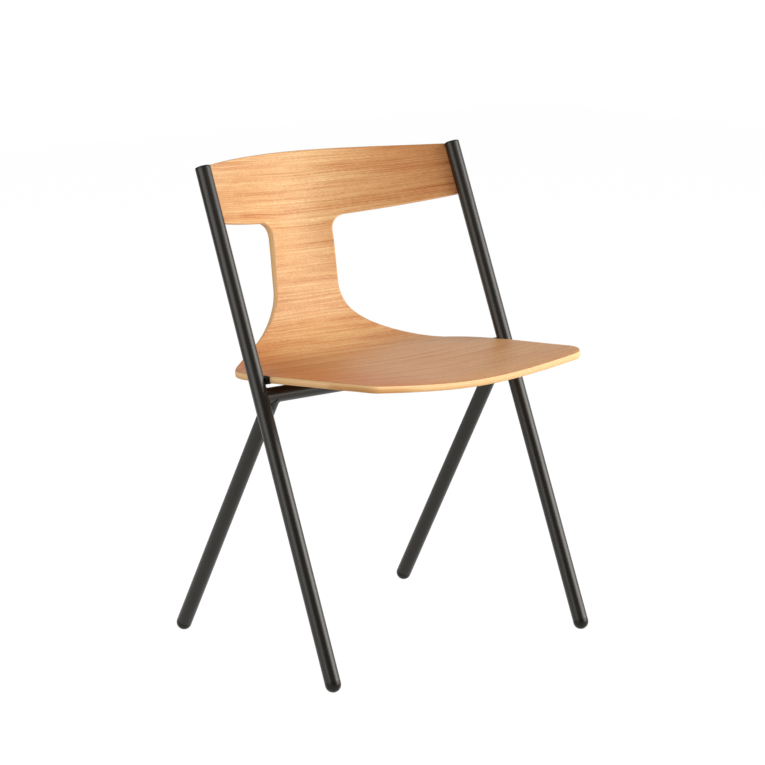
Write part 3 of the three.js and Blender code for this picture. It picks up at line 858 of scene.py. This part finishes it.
class Finish(Graph):
    """A material on one Principled shader."""

    def __init__(self, name, **sockets):
        self.material = bpy.data.materials.new(name)
        super().__init__(self.material)
        surface = self.node("ShaderNodeBsdfPrincipled")
        self.shader = surface.socket.node
        self.node("ShaderNodeOutputMaterial", values=[surface])
        self.set(**sockets)

    def set(self, **sockets):
        for name, value in sockets.items():
            self.feed(self.shader.inputs[name.replace("_", " ")], value)

    def uv(self, name):
        """The two numbers of a UV map."""
        place = self.node("ShaderNodeUVMap", {"uv_map": name})
        return [self.node("ShaderNodeSeparateXYZ", values=[place], out=i) for i in (0, 1)]

    def noise(self, x, y, z, detail=2.0):
        """Noise of one feature to a unit of each number."""
        values = {"Vector": self.vector(x, y, z), "Scale": 1.0, "Detail": detail}
        return self.node("ShaderNodeTexNoise", values=values)

    def speckle(self, scale, detail):
        """Noise that is fixed to the piece."""
        place = self.node("ShaderNodeTexCoord", out="Object")
        values = {"Vector": place, "Scale": scale, "Detail": detail}
        return self.node("ShaderNodeTexNoise", values=values)

    def between(self, value, low, high, start=0.0, end=1.0):
        """Smooth step from one value to another as a number goes from low to high."""
        settings = {"interpolation_type": "SMOOTHSTEP"}
        return self.node("ShaderNodeMapRange", settings, [value, low, high, start, end])

    def ramp(self, value, stops):
        return self.node("ShaderNodeValToRGB", {"stops": stops}, [value])

    def mix(self, share, first, second, blend="MIX"):
        settings = {"data_type": "RGBA", "blend_type": blend}
        return self.node("ShaderNodeMix", settings, {0: share, 6: first, 7: second}, out=2)

    def layered(self, colour, layers):
        """Lays screen colours over a colour, each by its share and blend."""
        for share, tone, blend in layers:
            colour = self.mix(share, colour, srgb(*tone), blend)
        return colour

    def bump(self, height, distance):
        values = {"Strength": 1.0, "Distance": distance, "Height": height}
        return self.node("ShaderNodeBump", values=values)


def srgb(red, green, blue):
    """Linear colour of a screen colour written as 0 to 255."""
    def linear(value):
        share = value / 255
        return share / 12.92 if share <= 0.04045 else ((share + 0.055) / 1.055) ** 2.4
    return tuple(linear(value) for value in (red, green, blue))


def plywood_finish():
    """Light veneer with its grain across the chair, and pale edges with thin glue lines."""
    finish = Finish("plywood", Specular_IOR_Level=0.2)
    between = finish.between
    x, s = finish.uv("grain")
    sheet, depth = finish.uv("layer")

    def figure(place, along, across, change, shift=0.0, detail=2.0):
        """Noise by features to a metre along and across the grain. Each face has its own."""
        return finish.noise(x * along, place * across, sheet * change + shift, detail)

    wander = figure(s, 3.0, 8.0, 3.1, detail=1.0)
    ripple = figure(s, 16.0, 45.0, 3.1, shift=2.0, detail=1.0)
    slant = 0.012
    flow = s + (wander - 0.5) * (22 * MM) + (ripple - 0.5) * (2.2 * MM) + x * slant
    band = figure(flow, 2.4, 70.0, 5.0)
    streak = figure(flow, 5.0, 240.0, 7.0)
    line = figure(flow, 4.0, 430.0, 9.0, shift=4.0, detail=1.0)
    beside = figure(flow + 1.4 * MM, 4.0, 430.0, 9.0, shift=4.0, detail=1.0)
    pore = figure(flow, 150.0, 900.0, 11.0)
    patch = figure(flow, 26.0, 110.0, 13.0, shift=1.0)
    tone = 0.5 + (band - 0.5) * 0.50 + (streak - 0.5) * 0.42 + (line - beside) * 0.30
    tone += (pore - 0.5) * 0.58 + (patch - 0.5) * 0.26
    veneer = finish.ramp(tone, [
        (0.22, srgb(200, 131, 76)),
        (0.42, srgb(223, 164, 108)),
        (0.58, srgb(234, 186, 130)),
        (0.80, srgb(250, 217, 157)),
    ])

    on_back = between(s, bend_start, bend_end)
    # Painted shade: a mask for the back's +x end, which is darkened below.
    shaded_back_end = between(x, 20 * MM, 250 * MM) * on_back
    below_neck = between(s, wing_place + 120 * MM, wing_place + 30 * MM)
    # The dark streaks are grain, made stronger towards the back's +x end as painted shade.
    streak_and_shade = between(streak, 0.44, 0.30) * (0.2 + shaded_back_end * 0.5)
    dark_line = between(line, 0.36, 0.24) * between(patch, 0.36, 0.58)
    pale_line = between(line, 0.64, 0.76) * between(patch, 0.64, 0.42)
    veneer = finish.layered(veneer, [
        (streak_and_shade, (186, 112, 62), "MIX"),
        (dark_line * 0.46, (174, 104, 60), "MIX"),
        (pale_line * 0.55, (255, 226, 176), "MIX"),
        # The seat is a little redder.
        (0.9 - on_back * 0.9, (253, 242, 236), "MULTIPLY"),
        # Painted shade: the back darkens towards its +x end and the seat towards its -x side, and the
        # back's -x half is a touch darker.
        (shaded_back_end * 0.48, (204, 132, 50), "MULTIPLY"),
        (between(x, 0.0, -160 * MM) * on_back, (247, 243, 246), "MULTIPLY"),
        # Painted shade on the seat's -x side.
        (between(x, -20 * MM, -200 * MM) * below_neck * 0.58, (232, 165, 76), "MULTIPLY"),
    ])

    plies = 7
    layer = depth * plies
    glue = between(finish.maths("PINGPONG", layer, 0.5), 0.12, 0.0)
    cross = between(finish.maths("FLOORED_MODULO", layer, 2.0), 0.96, 1.04)
    fibre = finish.noise(x * 260.0, s * 260.0, depth * 9.0, 3.0)
    # Painted shade on the edge's lower plies, stronger towards -x.
    shaded_lower_plies = between(depth, 0.35, 0.85) * between(x, 140 * MM, -100 * MM, 0.2, 0.55)
    # Painted shade: a mask for the front -x corner of the edge.
    corner = between(x, -110 * MM, -180 * MM) * between(s, 100 * MM, 70 * MM)
    # Painted shade: a mask for the band's top edge.
    shaded_top_edge = between(s, band_start + 70 * MM, band_start + 80 * MM)
    edge = finish.layered(srgb(252, 209, 154), [
        (cross, (247, 200, 144), "MIX"),
        ((fibre - 0.3) * 0.4, (228, 168, 104), "MIX"),
        # Painted shade: the lower plies of the edge are browner, more so towards -x.
        (shaded_lower_plies, (200, 150, 93), "MIX"),
        (glue * 0.2, (176, 116, 64), "MIX"),
        # Painted shade: the edge is darker at the front -x corner.
        (corner * between(depth, 0.1, 0.5), (228, 212, 190), "MULTIPLY"),
        # Painted shade: the band's top edge is greyer and darker.
        (shaded_top_edge * 0.55, (217, 195, 168), "MIX"),
    ])

    on_edge = between(depth, 0.01, 0.035) * between(depth, 0.99, 0.965)
    finish.set(
        Base_Color=finish.mix(on_edge, veneer, edge),
        Roughness=0.46 + (streak - 0.5) * 0.12 + on_edge * 0.12,
        Normal=finish.bump(line * 0.5 + pore * 0.5, 0.06 * MM),
    )
    return finish.material


def speckled_finish(name, roughness, spread, mottle, grain, relief, tones=None, **sockets):
    """A material with uneven roughness and a fine relief.

    Its mottle and grain are each a noise's scale and detail, and its tones the mottle's colours.
    """
    finish = Finish(name, **sockets)
    wear = finish.speckle(*mottle)
    if tones:
        finish.set(Base_Color=finish.mix(wear, *tones))
    finish.set(
        Roughness=roughness + (wear - 0.5) * spread,
        Normal=finish.bump(finish.speckle(*grain), relief),
    )
    return finish.material


def tube_finish():
    """Semi-gloss black powder coat with its fine orange peel."""
    return speckled_finish(
        "tube_paint",
        roughness=0.35,
        spread=0.06,
        mottle=(14.0, 4.0),
        grain=(420.0, 1.0),
        relief=0.0015 * MM,
        tones=(srgb(8, 7, 5), srgb(14, 12, 9)),
        Specular_IOR_Level=0.49,
        Specular_Tint=srgb(255, 248, 238),
    )


def plastic_finish():
    """Black moulded plastic, nearly as glossy as the paint beside it."""
    return speckled_finish(
        "black_plastic",
        roughness=0.36,
        spread=0.08,
        mottle=(60.0, 4.0),
        grain=(1600.0, 2.0),
        relief=0.001 * MM,
        Base_Color=srgb(13, 11, 9),
        Specular_IOR_Level=0.3,
        Specular_Tint=srgb(255, 246, 232),
    )


def block_finish():
    """Dull black rubbery plastic of the side blocks."""
    return speckled_finish(
        "dull_black_plastic",
        roughness=0.8,
        spread=0.2,
        mottle=(900.0, 2.0),
        grain=(900.0, 2.0),
        relief=0.02 * MM,
        Base_Color=srgb(13, 11, 10),
        Specular_IOR_Level=0.15,
    )


def steel_finish():
    """Zinc-plated steel with a faint mottle."""
    return speckled_finish(
        "fastener_steel",
        roughness=0.38,
        spread=0.2,
        mottle=(700.0, 4.0),
        grain=(700.0, 4.0),
        relief=0.02 * MM,
        Base_Color=srgb(178, 178, 174),
        Metallic=1.0,
    )


# Tubes and welds

def mirrored(vector, side):
    return Vector((side * vector.x, vector.y, vector.z))


def tube_shape():
    """Tubes along the base mesh's edges, bored out and fitted round their neighbours."""
    shape = Shape("frame_tube", radius=tube_radius, wall=tube_wall, clearance=seat_gap, sides=72)
    sides = shape.input("sides")
    radius = shape.input("radius")
    body = shape.sweep(shape.lines(WALL), radius, sides)
    bore = shape.sweep(shape.lines(BORE), radius - shape.input("wall"), sides)
    beside = shape.sweep(shape.lines(NEIGHBOUR), radius + shape.input("clearance"), sides)
    shape.end(shape.boolean("DIFFERENCE", body, [bore, beside]))
    return shape


def centre_lines(name, start, end, neighbours=()):
    """The base mesh of a tube: its own line, its bore's and those of the tubes that it meets."""
    overrun = (end - start).normalized() * tube_wall
    points = [start, end, start - overrun, end + overrun]
    roles = [WALL, BORE]
    for place, direction in neighbours:
        reach = direction * 3 * tube_radius
        points += [place - reach, place + reach]
        roles.append(NEIGHBOUR)
    base = mesh_object(name, points, edges=[(i, i + 1) for i in range(0, len(points), 2)])
    base.data.attributes.new("role", "INT", "EDGE").data.foreach_set("value", roles)
    return base


def weld_shape():
    """A bead along the base mesh's edges that wavers a little."""
    shape = Shape("weld_bead", bead=weld_bead, waver=0.3 * MM, sides=10)
    line = shape.node("GeometryNodeMeshToCurve", values=[shape.input("geometry")])
    noise = shape.node("ShaderNodeTexNoise", values={"Scale": 160.0, "Detail": 1.0}, out="Color")
    centred = shape.node("ShaderNodeVectorMath", {"operation": "SUBTRACT"}, [noise, (0.5,) * 3])
    scaled = {0: centred, "Scale": shape.input("waver")}
    drift = shape.node("ShaderNodeVectorMath", {"operation": "SCALE"}, scaled)
    line = shape.node("GeometryNodeSetPosition", values={"Geometry": line, "Offset": drift})
    bead = shape.sweep(line, shape.input("bead"), shape.input("sides"))
    shape.end(shape.node("GeometryNodeSetShadeSmooth", values=[bead]))
    return shape


def seam(start, direction, neighbour, steps=360):
    """Points round a tube from its neighbour's axis, where it meets the neighbour's surface."""
    place, axis = neighbour
    first, second = sides_of(direction)
    across = direction - axis * direction.dot(axis)
    points = []
    for i in range(steps):
        turn = math.tau * i / steps
        edge = start + (first * math.cos(turn) + second * math.sin(turn)) * tube_radius
        offset = edge - place
        offset -= axis * offset.dot(axis)
        a = across.length_squared
        b = across.dot(offset)
        c = offset.length_squared - tube_radius**2
        points.append(edge + direction * ((math.sqrt(max(b * b - a * c, 0)) - b) / a))
    return points


def tongue_seam(side, steps=200, length_share=0.96):
    """Points along the rear corner between a tongue and its tube."""
    middle, outward, up, rearwards = tongue_axes(side)
    offset = middle + rearwards * (tongue_thickness / 2) - mirrored(side_foot, side)
    offset -= up * offset.dot(up)
    b = outward.dot(offset)
    reach = -b - math.sqrt(b * b - offset.length_squared + tube_radius**2)
    corner = middle + rearwards * (tongue_thickness / 2) + outward * reach
    heights = np.linspace(-0.5, 0.5, steps) * tongue_height * length_share
    return [corner + up * height for height in heights]


def polyline(name, points, closed):
    count = len(points)
    edges = [(i, (i + 1) % count) for i in range(count if closed else count - 1)]
    return mesh_object(name, points, edges=edges)


# Plastic pieces

def glide(name, foot, direction, dome_steps=26, segments=64):
    """A domed foot with a stem inside the tube and a flat to stand on."""
    stem = tube_radius - tube_wall - seat_gap
    profile = [(0, -tube_radius)]
    profile += arc(0, 0, tube_radius, -88, 0, dome_steps)
    profile += [(tube_radius, tube_start), (stem, tube_start), (stem, glide_collar + glide_stem)]
    profile += [(0, glide_collar + glide_stem)]
    piece = revolve(name, profile, foot, direction, segments)
    width = 4 * tube_radius
    low = Vector((foot.x - width, foot.y - width, -width))
    high = Vector((foot.x + width, foot.y + width, 0))
    return shade(subtract(piece, [box_cutter(low, high)]), sharp=40)


def top_plug(name, end, direction, soft=1.8 * MM, soft_steps=6, segments=64):
    """A flanged cap with a soft rim on the tube's upper end, and a low crown."""
    stem = tube_radius - tube_wall - seat_gap
    profile = [(0, -plug_stem), (stem, -plug_stem), (stem, 0), (tube_radius, 0)]
    profile += arc(tube_radius - soft, plug_flange - soft, soft, 0, 90, soft_steps)
    profile += [(tube_radius / 2, plug_flange + plug_crown * 3 / 4), (0, plug_flange + plug_crown)]
    return revolve(name, profile, end, direction, segments)


def side_block(name, side):
    """The block beside the seat, without its thin ends in front of and behind the tube."""
    piece = merged_copy(f"side_block_{name}", f"side_block_{name}_eased")
    low, high = (corner.copy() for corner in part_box(f"side_block_{name}"))
    if side > 0:
        low.x += block_width
    else:
        high.x -= block_width
    margin = Vector((0, MM, MM))
    return ease(subtract(piece, [box_cutter(low - margin, high + margin)]), block_ease)


# Straps and fasteners

def seat_strap(name, side, merge_distance=0.001 * MM, bend_steps=8, hug_steps=48):
    """A bent plate that hugs the rail from below, with a screw ear at each side."""
    top = strap_rise
    under = top - strap_thickness
    outer = strap_inner + strap_thickness
    crown = strap_bend + strap_thickness
    outline = [(strap_out, under), (strap_out, top)]
    outline += arc(strap_inner + crown, top - crown, crown, 90, 180, bend_steps)
    outline += arc(0, 0, strap_inner, 0, -180, hug_steps)
    outline += arc(-strap_inner - crown, top - crown, crown, 0, 90, bend_steps)
    outline += [(-strap_out, top), (-strap_out, under)]
    outline += arc(-outer - strap_bend, under - strap_bend, strap_bend, 90, 0, bend_steps)
    outline += arc(0, 0, outer, 180, 360, hug_steps)
    outline += arc(outer + strap_bend, under - strap_bend, strap_bend, 180, 90, bend_steps)
    near = rail_centre + Vector((side * strap_place - strap_width / 2, 0, 0))
    ends = [near, near + Vector((strap_width, 0, 0))]
    count = len(outline)
    vertices = [end + seat_rearward * y + seat_up * z for end in ends for y, z in outline]
    faces = [list(range(count)), list(range(2 * count - 1, count - 1, -1))]
    faces += [(i, i + count, (i + 1) % count + count, (i + 1) % count) for i in range(count)]
    piece = mesh_object(name, vertices, faces)
    with mesh_edit(piece.data) as shape:
        bmesh.ops.remove_doubles(shape, verts=shape.verts, dist=merge_distance)
        bmesh.ops.recalc_face_normals(shape, faces=shape.faces)
    holes = []
    for seat, _ in seat_screw_places():
        if seat.x * side > 0:
            reach = seat_up * 2 * strap_thickness
            holes.append(rod("cutter", screw_radius + seat_gap, seat - reach, seat + reach))
    return ease(subtract(piece, holes), strap_ease)


def screw_shape(ball_rings=48, shank_overlap=0.2 * MM):
    """Button-head socket screws at the base mesh's vertices, seated at height zero."""
    shape = Shape(
        "button_screw",
        head_radius=head_radius,
        head_height=head_height,
        head_rim=0.8 * MM,
        shank_radius=screw_radius,
        shank_length=10 * MM,
        socket_radius=socket_radius,
        socket_depth=socket_depth,
        pitch=1.0 * MM,
        sides=48,
    )
    radius, height = shape.input("head_radius"), shape.input("head_height")
    sides, pitch = shape.input("sides"), shape.input("pitch")
    length = shape.input("shank_length")
    crown = height - shape.input("head_rim")
    ball_radius = (radius * radius + crown * crown) / (2.0 * crown)
    values = {"Segments": sides, "Rings": ball_rings, "Radius": ball_radius}
    ball = shape.lift(shape.node("GeometryNodeMeshUVSphere", values=values), height - ball_radius)
    blank = shape.boolean("INTERSECT", shape.drum(sides, radius, 0.0, height), [ball])
    floor = height - shape.input("socket_depth")
    hexagon = 6
    socket = shape.drum(hexagon, shape.input("socket_radius"), floor, height * 2.0)
    head = shape.boolean("DIFFERENCE", blank, [socket])
    core = shape.input("shank_radius") - pitch * (ridge_share + ridge_lift)
    shank = shape.drum(sides, core, 0.0 - length, shank_overlap)
    ridge = shape.thread(core, pitch, 0.0 - length, length)
    whole = shape.node("GeometryNodeJoinGeometry", values=[[head, shank, ridge]])
    shape.end(shape.place(whole))
    return shape


def insert_shape():
    """Threaded inserts at the base mesh's vertices, with their mouths at height zero."""
    shape = Shape(
        "threaded_insert",
        radius=insert_radius,
        bore=screw_radius + seat_gap,
        length=insert_length,
        pitch=1.4 * MM,
        sides=48,
    )
    sides, pitch, length = shape.input("sides"), shape.input("pitch"), shape.input("length")
    core = shape.input("radius") - pitch * (ridge_share + ridge_lift)
    bore = shape.drum(sides, shape.input("bore"), 0.0 - pitch, length + pitch)
    body = shape.boolean("DIFFERENCE", shape.drum(sides, core, 0.0, length), [bore])
    ridge = shape.thread(core, pitch, pitch * 0.5, length)
    shape.end(shape.place(shape.node("GeometryNodeJoinGeometry", values=[[body, ridge]])))
    return shape


def build_frame(paint, plastic, block_plastic):
    tubes, welds = tube_shape(), weld_shape()

    def node_of(piece):
        """The CAD node in a piece's name, which holds one word more."""
        return piece.name.rsplit("_", 1)[0]

    def add(piece, material):
        slot = "tube_paint" if material == paint else "black_plastic"
        finish_piece(piece, slot, material, node_of(piece))

    def add_tube(*line):
        base = centre_lines(*line)
        shade(tubes.make(base, "tube_paint", paint, [node_of(base)]))

    def add_weld(name, points, closed=True, **changes):
        welds.make(polyline(name, points, closed), "tube_paint", paint, [], **changes)

    across = Vector((1, 0, 0))
    leg_offset = 2 * tube_radius + seat_gap
    side_axes = []
    for name, side in (("left", 1), ("right", -1)):
        foot, direction = mirrored(side_foot, side), mirrored(side_direction, side)
        top = mirrored(side_top, side) - direction * plug_flange
        side_axis = (foot + direction * (rail_end - side_foot).length, direction)
        side_axes.append(side_axis)
        add_tube(f"side_tube_{name}_coated", foot + direction * tube_start, top)
        add(top_plug(f"top_plug_{name}_cap", top, direction), plastic)
        add(glide(f"glide_front_{name}_dome", foot, direction), plastic)

        rear_foot = Vector((
            side * (foot_span / 2 - leg_offset), y_shift + rear_foot_reach, foot_height,
        ))
        leg_top = Vector((side * (rail_end.x - leg_offset), rail_centre.y, rail_centre.z))
        upward = (leg_top - rear_foot).normalized()
        rail_axis = (leg_top, across)
        add_tube(f"rear_leg_{name}_coped", rear_foot + upward * tube_start, leg_top, [rail_axis])
        add(glide(f"glide_rear_{name}_dome", rear_foot, upward), plastic)
        add_weld(f"leg_weld_{name}", seam(leg_top, -upward, rail_axis))
        add_weld(f"rail_weld_{name}", seam(side_axis[0], -across * side, side_axis))
        add_weld(f"tongue_weld_{name}", tongue_seam(side), closed=False, bead=tongue_bead)

        add(side_block(name, side), block_plastic)
        tongue = merged_copy(f"back_tongue_{name}", f"back_tongue_{name}_eased")
        add(ease(tongue, tongue_ease), paint)
        add(seat_strap(f"seat_strap_{name}_bent", side), paint)

    left, right = side_axes
    add_tube("seat_rail_coped", right[0], left[0], [right, left])


def build_fasteners(steel):
    screws, inserts = screw_shape(), insert_shape()
    seats = seat_screw_places()
    rise = min(rise for _, rise in seats)
    under_seat = [(seat, -seat_up) for seat, _ in seats]
    mouths = [(seat + seat_up * rise, seat_up) for seat, rise in seats]
    back_length = shell_thickness / 2 + 2 * seat_gap + tongue_thickness / 2
    seat_length = rise + insert_length - seat_gap
    for name, shape, places, levels, sizes in (
        ("back_screw", screws, back_screw_places(), ("upper", "lower"), {"shank_length": back_length}),
        ("seat_screw", screws, under_seat, ("front", "rear"), {"shank_length": seat_length}),
        ("seat_insert", inserts, mouths, ("front", "rear"), {}),
    ):
        nodes = [f"{name}_{level}_{side}" for side in ("left", "right") for level in levels]
        base = directed_points(f"{name}s", places)
        shade(shape.make(base, "fastener_steel", steel, nodes, **sizes))


def build_chair():
    plywood = plywood_finish()
    finish_piece(cut_shell(plywood_shell()), "plywood", plywood, "seat_back_shell")
    build_frame(tube_finish(), plastic_finish(), block_finish())
    build_fasteners(steel_finish())


# Camera, floor and light

# The photograph's view, in degrees and pixels
view_azimuth = -40.12
view_elevation = 11.62
camera_place = Vector((-2875.77, -3216.91, 1337.76)) * MM + Vector((0, y_shift, 0))
photo_width = 765
focal_pixels = 2814.27


def outwards(azimuth, elevation):
    """Direction from the chair, by degrees from the front and above the floor."""
    a, e = math.radians(azimuth), math.radians(elevation)
    return Vector((math.sin(a) * math.cos(e), -math.cos(a) * math.cos(e), math.sin(e)))


def add_aimed(name, data, place, outward):
    """Adds a camera or lamp that looks inwards, against the given direction."""
    piece = bpy.data.objects.new(name, data)
    turn = (-outward).to_track_quat("-Z", "Y").to_matrix().to_4x4()
    piece.matrix_world = Matrix.Translation(place) @ turn
    bpy.context.scene.collection.objects.link(piece)
    return piece


def add_camera():
    data = bpy.data.cameras.new("camera")
    data.sensor_width = 36.0
    data.lens = focal_pixels / photo_width * data.sensor_width
    data.clip_end = 100
    direction = outwards(view_azimuth, view_elevation)
    bpy.context.scene.camera = add_aimed("camera", data, camera_place, direction)


def add_world(fill=0.22, background=1.0):
    """Soft light all round, and a background that looks white."""
    world = bpy.data.worlds.new("studio")
    bpy.context.scene.world = world
    graph = Graph(world)
    soft, bright = (
        graph.node("ShaderNodeBackground", values={"Color": (1, 1, 1), "Strength": strength})
        for strength in (fill, background)
    )
    mix = graph.node("ShaderNodeMixShader", values=[graph.seen_directly(), soft, bright])
    graph.node("ShaderNodeOutputWorld", values=[mix])


def add_floor(half=6.0, shadow_share=0.12, glow_strength=1.1):
    """A pale floor that looks white, with a share of its real shading left for the shadow."""
    corners = [(-half, -half, 0), (half, -half, 0), (half, half, 0), (-half, half, 0)]
    floor = mesh_object("floor", corners, [(0, 1, 2, 3)], smooth=False)
    material = bpy.data.materials.new("pale_floor")
    graph = Graph(material)
    shaded = graph.node("ShaderNodeBsdfDiffuse", values={"Color": (0.85, 0.85, 0.85)})
    glow = graph.node("ShaderNodeEmission", values={"Strength": glow_strength})
    share = graph.seen_directly() * (1 - shadow_share)
    mix = graph.node("ShaderNodeMixShader", values=[share, shaded, glow])
    graph.node("ShaderNodeOutputMaterial", values=[mix])
    floor.data.materials.append(material)


def add_softbox(name, azimuth, elevation, size, power, distance=3.2, aim_height=0.45):
    """An area light on a sphere round the chair, aimed at its middle."""
    data = bpy.data.lights.new(name, "AREA")
    data.shape = "RECTANGLE"
    data.size, data.size_y = size
    data.energy = power
    outward = outwards(azimuth, elevation)
    add_aimed(name, data, Vector((0, 0, aim_height)) + outward * distance, outward)


def add_grey_card(name, start, end, tone, distance=4.5, height=4.2, steps=12):
    """A curved grey card round the studio, which only shows in the gloss of the chair."""
    azimuths = np.radians(np.linspace(start, end, steps + 1))
    vertices = [
        (distance * math.sin(a), -distance * math.cos(a), z) for z in (0, height) for a in azimuths
    ]
    faces = [(i, i + 1, i + steps + 2, i + steps + 1) for i in range(steps)]
    card = mesh_object(name, vertices, faces)
    finish = Finish(name, Base_Color=(0, 0, 0), Emission_Color=(tone,) * 3, Emission_Strength=1.0)
    card.data.materials.append(finish.material)
    for kind in ("camera", "diffuse", "transmission", "shadow"):
        setattr(card, f"visible_{kind}", False)


build_chair()
add_camera()
add_world()
add_floor()
add_softbox("key_right", azimuth=41, elevation=17, size=(2.7, 2.1), power=119)
add_softbox("fill_left", azimuth=-89, elevation=16, size=(2.9, 2.2), power=40)
add_grey_card("card_front", start=-70, end=18, tone=0.2)
add_grey_card("card_left_rear", start=-205, end=-118, tone=0.08)
bpy.context.scene.view_settings.view_transform = "Standard"
